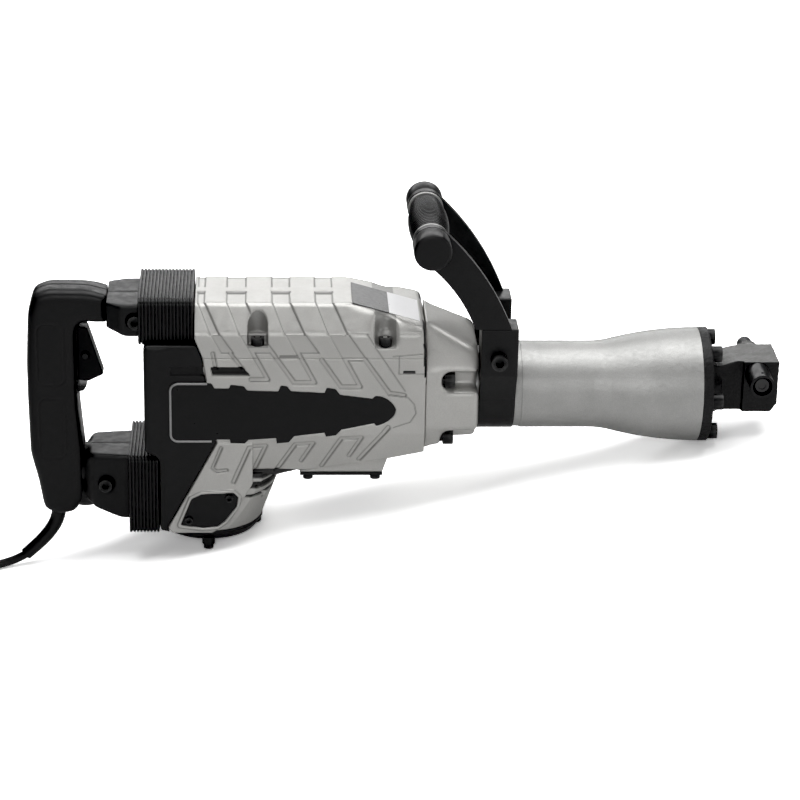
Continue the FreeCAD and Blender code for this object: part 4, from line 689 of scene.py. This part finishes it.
def mouldings():
    """The handle arms and the trigger, with rounded edges and mould seams."""
    for node, voxel, rounds in (("upper_arm", HANDLE_VOXEL, 24), ("lower_arm", HANDLE_VOXEL, 40),
                                ("trigger", 0.6, 16)):
        mesh = node_mesh(node)
        if node == "lower_arm":
            bridged(mesh, [((-692, 0, -88), (26, 19, 24)), ((-690, 0, -112), (22, 19, 20))])
        mesh = remeshed(mesh, voxel, 3)
        x = points_of(mesh)[:, 0]
        joint = smooth_step(-x, 652, 660) if node == "upper_arm" else 0
        relaxed(mesh, (1 - 0.9 * joint) * np.ones(len(x)), rounds)
        if node != "trigger":
            spots = points_of(mesh)
            set_points(mesh, spots - seam_depth(spots, spots.mean(axis=0), 0.7))
        put(node + "_skin", mesh, BODY_OF[node], SLOT_OF[node], node)


def rear_cover():
    """The black rear cover: well rounded at the back, with the groove that leads into the vent."""
    mesh = remeshed(node_mesh("rear_cover"), HANDLE_VOXEL, 4)
    x = points_of(mesh)[:, 0]
    relaxed(mesh, 1 - 0.85 * smooth_step(x, -612, -600), 80)
    spots = points_of(mesh)
    x, y, z = spots.T
    groove = (x > -602) & within(z, 31, 39.5) & (np.abs(y) > 54)
    spots[:, 1] -= np.sign(y) * 3.0 * groove
    set_points(mesh, spots)
    put("rear_cover_skin", mesh, "hammer_body", "black_plastic", "rear_cover")


RIB_SHAPE = ((0.06, 1.5), (0.22, 0.1), (0.38, 0.0), (0.56, 0.0), (0.72, 0.1), (0.90, 1.5))
SLEEVE_WALL = 3.0
UPPER_SLEEVE_BOTTOM = 58.0        # a little lower than the CAD sleeve's


def sleeve_outline(half, top, bottom):
    """Points (y, z) round a box section with round corners, each with its outward direction."""
    corner = 7
    outline = []
    for cy, cz, first in ((half - corner, top - corner, 0), (-half + corner, top - corner, 90),
                          (-half + corner, bottom + corner, 180), (half - corner, bottom + corner, 270)):
        for step in range(7):
            angle = math.radians(first + 90 * step / 6)
            outline.append((cy + corner * math.cos(angle), cz + corner * math.sin(angle),
                            math.cos(angle), math.sin(angle)))
    return outline


def ribbed_sleeve(node, low, high, bottom, ribs):
    """A rubber bellows: a rounded box section that steps in and out along X."""
    outline = sleeve_outline(high[1], high[2], bottom)
    pitch = (high[0] - low[0]) / ribs
    outer = [(low[0] + (rib + share) * pitch, inset) for rib in range(ribs) for share, inset in RIB_SHAPE]
    rings = outer + [(x, SLEEVE_WALL) for x, _ in outer[::-1]]
    vertices = []
    faces = []
    for x, inset in rings:
        for y, z, way_y, way_z in outline:
            vertices.append((x * MM, (y - way_y * inset) * MM, (z - way_z * inset) * MM))
    count = len(outline)
    for ring in range(len(rings)):
        after = (ring + 1) % len(rings)
        for i in range(count):
            j = (i + 1) % count
            faces.append((ring * count + i, after * count + i, after * count + j, ring * count + j))
    mesh = bpy.data.meshes.new(node + "_ribs")
    mesh.from_pydata(vertices, [], faces)
    mesh.update()
    obj = bpy.data.objects.new(node + "_ribs", mesh)
    bpy.context.scene.collection.objects.link(obj)
    mesh.materials.append(FINISH["soft_rubber"])
    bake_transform(obj)
    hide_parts(node)
    shade_by_angle(obj, 50)


def bellows():
    """The two rubber sleeves at the D-handle's short travel."""
    low, high = box_mm("upper_bellows")
    ribbed_sleeve("upper_bellows", low, high, UPPER_SLEEVE_BOTTOM, 16)
    low, high = box_mm("lower_bellows")
    ribbed_sleeve("lower_bellows", low, high, low[2], 9)


def lathe(name, body, material_slot, nodes, profile, centre):
    """A piece turned about a line along Y: profile points are (along the line, radius)."""
    segments = 72
    vertices = []
    faces = []
    for along, radius in profile:
        for i in range(segments):
            angle = 2 * math.pi * i / segments
            spot = (centre[0] + radius * math.cos(angle), along, centre[1] + radius * math.sin(angle))
            vertices.append(tuple(c * MM for c in spot))
    for ring in range(len(profile) - 1):
        for i in range(segments):
            j = (i + 1) % segments
            faces.append((ring * segments + i, ring * segments + j, (ring + 1) * segments + j,
                          (ring + 1) * segments + i))
    faces.append(tuple(range(segments))[::-1])
    faces.append(tuple(range((len(profile) - 1) * segments, len(profile) * segments)))
    mesh = bpy.data.meshes.new(name)
    mesh.from_pydata(vertices, [], faces)
    work = bmesh.new()
    work.from_mesh(mesh)
    bmesh.ops.recalc_face_normals(work, faces=work.faces)
    work.to_mesh(mesh)
    work.free()
    obj = put(name, mesh, body, material_slot, *nodes)
    shade_by_angle(obj, 42)


def side_handle():
    """The ribbed barrel grip, its bright collars and rounded end caps."""
    low, high = box_mm("side_grip")
    centre = ((low[0] + high[0]) / 2, (low[2] + high[2]) / 2)
    half = high[1]
    ribs = 26
    profile = [(-half, 11)]
    for rib in range(ribs):
        for share, inset in ((0.0, 1.6), (0.25, 0.2), (0.5, 0.0), (0.75, 0.2)):
            along = -half + 2 * half * (rib + share) / ribs
            swell = 16.2 + 3.6 * math.cos(along / half * math.pi / 2)
            profile.append((along, swell - inset))
    profile += [(half, 14.2), (half, 11)]
    lathe("side_grip_ribs", "side_handle", "soft_rubber", ["side_grip"], profile, centre)

    cap_end = box_mm("side_grip_caps")[1][1]
    rounding_radius = 3
    for name, sign, nodes in (("side_cap_near", -1, ["side_grip_caps"]), ("side_cap_far", 1, [])):
        rounded = [(sign * cap_end, 8), (sign * cap_end, 14.5)]
        for degrees in (15, 35, 55, 75, 90):
            t = math.radians(degrees)
            rounded.append((sign * (cap_end - rounding_radius * (1 - math.cos(t))),
                            15.2 + rounding_radius * math.sin(t)))
        rounded += [(sign * 60.5, 18.2), (sign * 59, 17.2)]
        lathe(name, "side_handle", "black_plastic", nodes, rounded, centre)
    softened("side_handle_arms", "side_arm_plates", 0.8)
    softened("side_grip_collars", "side_grip_rings", 0.5)
    clamp = remeshed(node_mesh("side_handle_clamp"), 0.9, 3)
    put("clamp_block", clamp, "side_handle", "black_paint", "side_handle_clamp")


CAST_FROM = -66           # the surface is rough in front of this
PAINTED_TOP_LIGHT_FROM = -56      # painted highlight on the nose's upward faces in front of this


def nose():
    """The rough cast nose block and flange, with painted highlight on its upward faces towards the front."""
    mesh = remeshed(node_mesh("front_cap"), 0.8, 3)
    spots = points_of(mesh)
    normals = np.zeros(len(mesh.vertices) * 3)
    mesh.vertices.foreach_get("normal", normals)
    normals = normals.reshape(-1, 3)
    waves = np.zeros(len(spots))
    rng = np.random.default_rng(7)
    for scale in (0.35, 0.8, 1.6):
        for _ in range(6):
            direction = rng.normal(size=3)
            direction *= scale / np.linalg.norm(direction)
            waves += np.sin(spots @ direction + rng.uniform(0, 6.3)) * 0.035 / scale ** 0.5
    x = spots[:, 0]
    set_points(mesh, spots + normals * (waves * (x > CAST_FROM))[:, None])
    # painted highlight: the nose's upward faces take the lighter line colour
    store_painted_shading(mesh, 0.7 * smooth_step(normals[:, 2], 0.75, 0.97) * (x > PAINTED_TOP_LIGHT_FROM))
    put("nose_block", mesh, "hammer_body", "black_iron", "front_cap")


def springs():
    """The damper springs and the retainer spring as steel coils on their bodies."""
    for node, joint, along in (("damper_springs", "handle_isolation", 0),
                               ("retainer_spring", "retainer_pull", 1)):
        coil = put(node + "_coil", node_mesh(node), BODY_OF[node], "steel", node)
        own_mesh(coil)


# ------------------------------------------------------------------ panels and labels

LABEL_SLOPE = ((-425.0, 100.2), (-359.0, 81.3))      # (x, z) where the labels start and end
LABEL_SIDES = (-38, 20)
LABEL_THICKNESS = 0.35


def blank_labels():
    """Two blank stickers on the front slope of the top cover."""
    (start_x, start_z), (end_x, end_z) = LABEL_SLOPE
    near, far = LABEL_SIDES
    for name, low, high in (("grey_label", 0.0, 0.54), ("white_label", 0.545, 1.0)):
        top = []
        for share, y in ((low, near), (high, near), (high, far), (low, far)):
            top.append((start_x + (end_x - start_x) * share, y, start_z + (end_z - start_z) * share))
        bottom = [(x, y, z - LABEL_THICKNESS) for x, y, z in top]
        vertices = [tuple(c * MM for c in spot) for spot in top + bottom]
        faces = [(0, 1, 2, 3), (7, 6, 5, 4)]
        faces += [(i, i + 4, (i + 1) % 4 + 4, (i + 1) % 4) for i in range(4)]
        mesh = bpy.data.meshes.new(name)
        mesh.from_pydata(vertices, [], faces)
        dressed(put(name, mesh, "hammer_body", "panel", smooth=False), name)


RIM_MIDDLE = -595.0       # where the rim's two corners turn about
RIM_CORNER = 7.0
RIM_OUT = 58.1            # distance of the rim from the middle plane
RIM_THICKNESS = 1.2


def rim_path():
    """The panel's rear outline (x, z), from its upper edge round to its lower one."""
    path = [(-566, 23.0), (RIM_MIDDLE, 23.0)]
    for middle, first, last in ((15.6, 0.2, math.pi / 2), (-30.9, math.pi / 2, math.pi)):
        for t in np.linspace(first, last, 6):
            path.append((RIM_MIDDLE - RIM_CORNER * math.sin(t), middle + RIM_CORNER * math.cos(t)))
    return path + [(-562, -37.9)]


def plate_rims():
    """The light line round the rear end of each side panel."""
    path = rim_path()
    for name, side in (("panel_rim_near", -1), ("panel_rim_far", 1)):
        curve = bpy.data.curves.new(name, "CURVE")
        curve.dimensions = "3D"
        spline = curve.splines.new("POLY")
        spline.points.add(len(path) - 1)
        for point, (x, z) in zip(spline.points, path):
            point.co = (x * MM, side * RIM_OUT * MM, z * MM, 1)
        curve.bevel_depth = RIM_THICKNESS * MM
        curve.bevel_resolution = 3
        holder = bpy.data.objects.new("holder", curve)
        bpy.context.scene.collection.objects.link(holder)
        mesh = evaluated_mesh(holder)
        bpy.data.objects.remove(holder)
        dressed(put(name, mesh, "hammer_body", "panel"), "rim")


# ------------------------------------------------------------------ the rest of the CAD nodes

EDGE_WIDTHS = {
    "front_bolts": 0.5, "top_cover_bolts": 0.4, "housing_screws": 0.3, "handle_screws": 0.4,
    "clamp_bolt": 0.5, "retainer_cup": 0.6, "retainer_lever": 0.8, "retainer_pin": 0.5,
    "retainer_collar": 0.3, "brush_covers": 0.6, "name_plates": 0.3, "motor_end_cap": 0.8,
    "bottom_cover": 0.4, "trigger_bezel": 0.3, "lock_button": 0.5,
}


def finish_nodes():
    """Small hardware gets rounded edges; the rest takes its finish as it is."""
    for node, width in EDGE_WIDTHS.items():
        made = softened(node, node + "_rounded", width)
        if node in ("retainer_pin", "retainer_collar"):
            dressed(made, "dark_pin")
    for node, obj in frame["nodes"].items():
        obj.data.materials.clear()
        obj.data.materials.append(FINISH[SLOT_OF[node]])


# ------------------------------------------------------------------ camera, floor and light

FLOOR_REACH = 2.4         # metres, as all lengths below
FLOOR_TILT = math.atan2(101.0, 494.0)       # up from the motor's end to the front flange
FLOOR_PLACE = (-0.567, 0, -0.1600)
LIGHTS_AIM = Vector((-0.40, 0, 0))
SOFTBOXES = (("overhead", (-0.45, 0.20, 1.95), (2.6, 1.8), 47),         # name, place, size, watts
             ("back_strip", (-0.5, 2.3, 0.95), (2.4, 0.6), 16),
             ("front_fill", (-0.7, -2.3, 0.9), (2.0, 1.0), 15),
             ("right_side", (1.5, -1.0, 0.9), (1.0, 1.4), 7))
CAMERA_AIM = Vector((-0.374258, 0.010665, -0.022364))       # from the fit to the photo
CAMERA_DISTANCE = 2.8282
CAMERA_ELEVATION, CAMERA_TURN, CAMERA_ROLL = (math.radians(angle) for angle in (22.5, 3.05, 1.168))


def floor_material():
    """A white floor to the camera, and a plainer one to every other ray."""
    made, nodes, links = new_material("pale_floor")
    bright = nodes.new("ShaderNodeBsdfDiffuse")
    bright.inputs["Color"].default_value = (2.1, 2.1, 2.1, 1)
    glow = nodes.new("ShaderNodeEmission")
    glow.inputs["Strength"].default_value = 0.16
    shown = nodes.new("ShaderNodeAddShader")
    links.new(bright.outputs["BSDF"], shown.inputs[0])
    links.new(glow.outputs["Emission"], shown.inputs[1])
    dim = nodes.new("ShaderNodeBsdfDiffuse")
    dim.inputs["Color"].default_value = (0.72, 0.72, 0.72, 1)
    mixed = nodes.new("ShaderNodeMixShader")
    links.new(nodes.new("ShaderNodeLightPath").outputs["Is Camera Ray"], mixed.inputs["Fac"])
    links.new(dim.outputs["BSDF"], mixed.inputs[1])
    links.new(shown.outputs["Shader"], mixed.inputs[2])
    links.new(mixed.outputs["Shader"], nodes.new("ShaderNodeOutputMaterial").inputs["Surface"])
    return made


def studio_floor():
    """The floor the machine lies on, tilted to the faces it rests on."""
    mesh = bpy.data.meshes.new("floor")
    corners = [(x * FLOOR_REACH, y * FLOOR_REACH, 0) for x, y in ((-1, -1), (1, -1), (1, 1), (-1, 1))]
    mesh.from_pydata(corners, [], [(0, 1, 2, 3)])
    mesh.materials.append(floor_material())
    floor = bpy.data.objects.new("floor", mesh)
    bpy.context.scene.collection.objects.link(floor)
    floor.rotation_euler = (0, -FLOOR_TILT, 0)
    floor.location = FLOOR_PLACE


def backdrop():
    """A pale sky, brighter above and white where the camera sees it."""
    world = bpy.data.worlds.new("studio")
    world.use_nodes = True
    nodes, links = world.node_tree.nodes, world.node_tree.links
    parts = nodes.new("ShaderNodeSeparateXYZ")
    links.new(nodes.new("ShaderNodeTexCoord").outputs["Generated"], parts.inputs["Vector"])
    height = ramp(nodes, links, parts.outputs["Z"], -0.1, 0.9, 0.30, 0.85)
    lift = nodes.new("ShaderNodeMath")
    lift.operation = "MULTIPLY_ADD"
    links.new(nodes.new("ShaderNodeLightPath").outputs["Is Camera Ray"], lift.inputs[0])
    lift.inputs[1].default_value = 24.0
    links.new(height, lift.inputs[2])
    links.new(lift.outputs["Value"], nodes["Background"].inputs["Strength"])
    bpy.context.scene.world = world


def lights():
    """Four soft boxes, all turned to the middle of the machine."""
    for name, place, size, power in SOFTBOXES:
        light = bpy.data.lights.new(name, "AREA")
        light.shape = "RECTANGLE"
        light.size, light.size_y = size
        light.energy = power
        holder = bpy.data.objects.new(name, light)
        bpy.context.scene.collection.objects.link(holder)
        holder.location = place
        way = LIGHTS_AIM - Vector(place)
        holder.rotation_euler = way.to_track_quat("-Z", "Y").to_euler()


def camera():
    """The photo's camera and its tones."""
    scene = bpy.context.scene
    lens_data = bpy.data.cameras.new("camera")
    lens_data.lens = 126.72
    lens_data.sensor_width = 36
    lens_data.clip_end = 50
    made = bpy.data.objects.new("camera", lens_data)
    scene.collection.objects.link(made)
    forward = Vector((math.sin(CAMERA_TURN) * math.cos(CAMERA_ELEVATION),
                      math.cos(CAMERA_TURN) * math.cos(CAMERA_ELEVATION), -math.sin(CAMERA_ELEVATION)))
    level = Vector((math.cos(CAMERA_TURN), -math.sin(CAMERA_TURN), 0))
    upright = level.cross(forward)
    right = level * math.cos(CAMERA_ROLL) + upright * math.sin(CAMERA_ROLL)
    up = right.cross(forward)
    turned = Matrix((right, up, -forward)).transposed().to_4x4()
    made.matrix_world = Matrix.Translation(CAMERA_AIM - forward * CAMERA_DISTANCE) @ turned
    scene.camera = made
    scene.view_settings.view_transform = "Standard"
    scene.view_settings.use_curve_mapping = True
    scene.view_settings.curve_mapping.black_level = (0.009, 0.009, 0.009)


castings()
grip()
mouldings()
rear_cover()
bellows()
side_handle()
nose()
springs()
blank_labels()
plate_rims()
finish_nodes()
studio_floor()
backdrop()
lights()
camera()
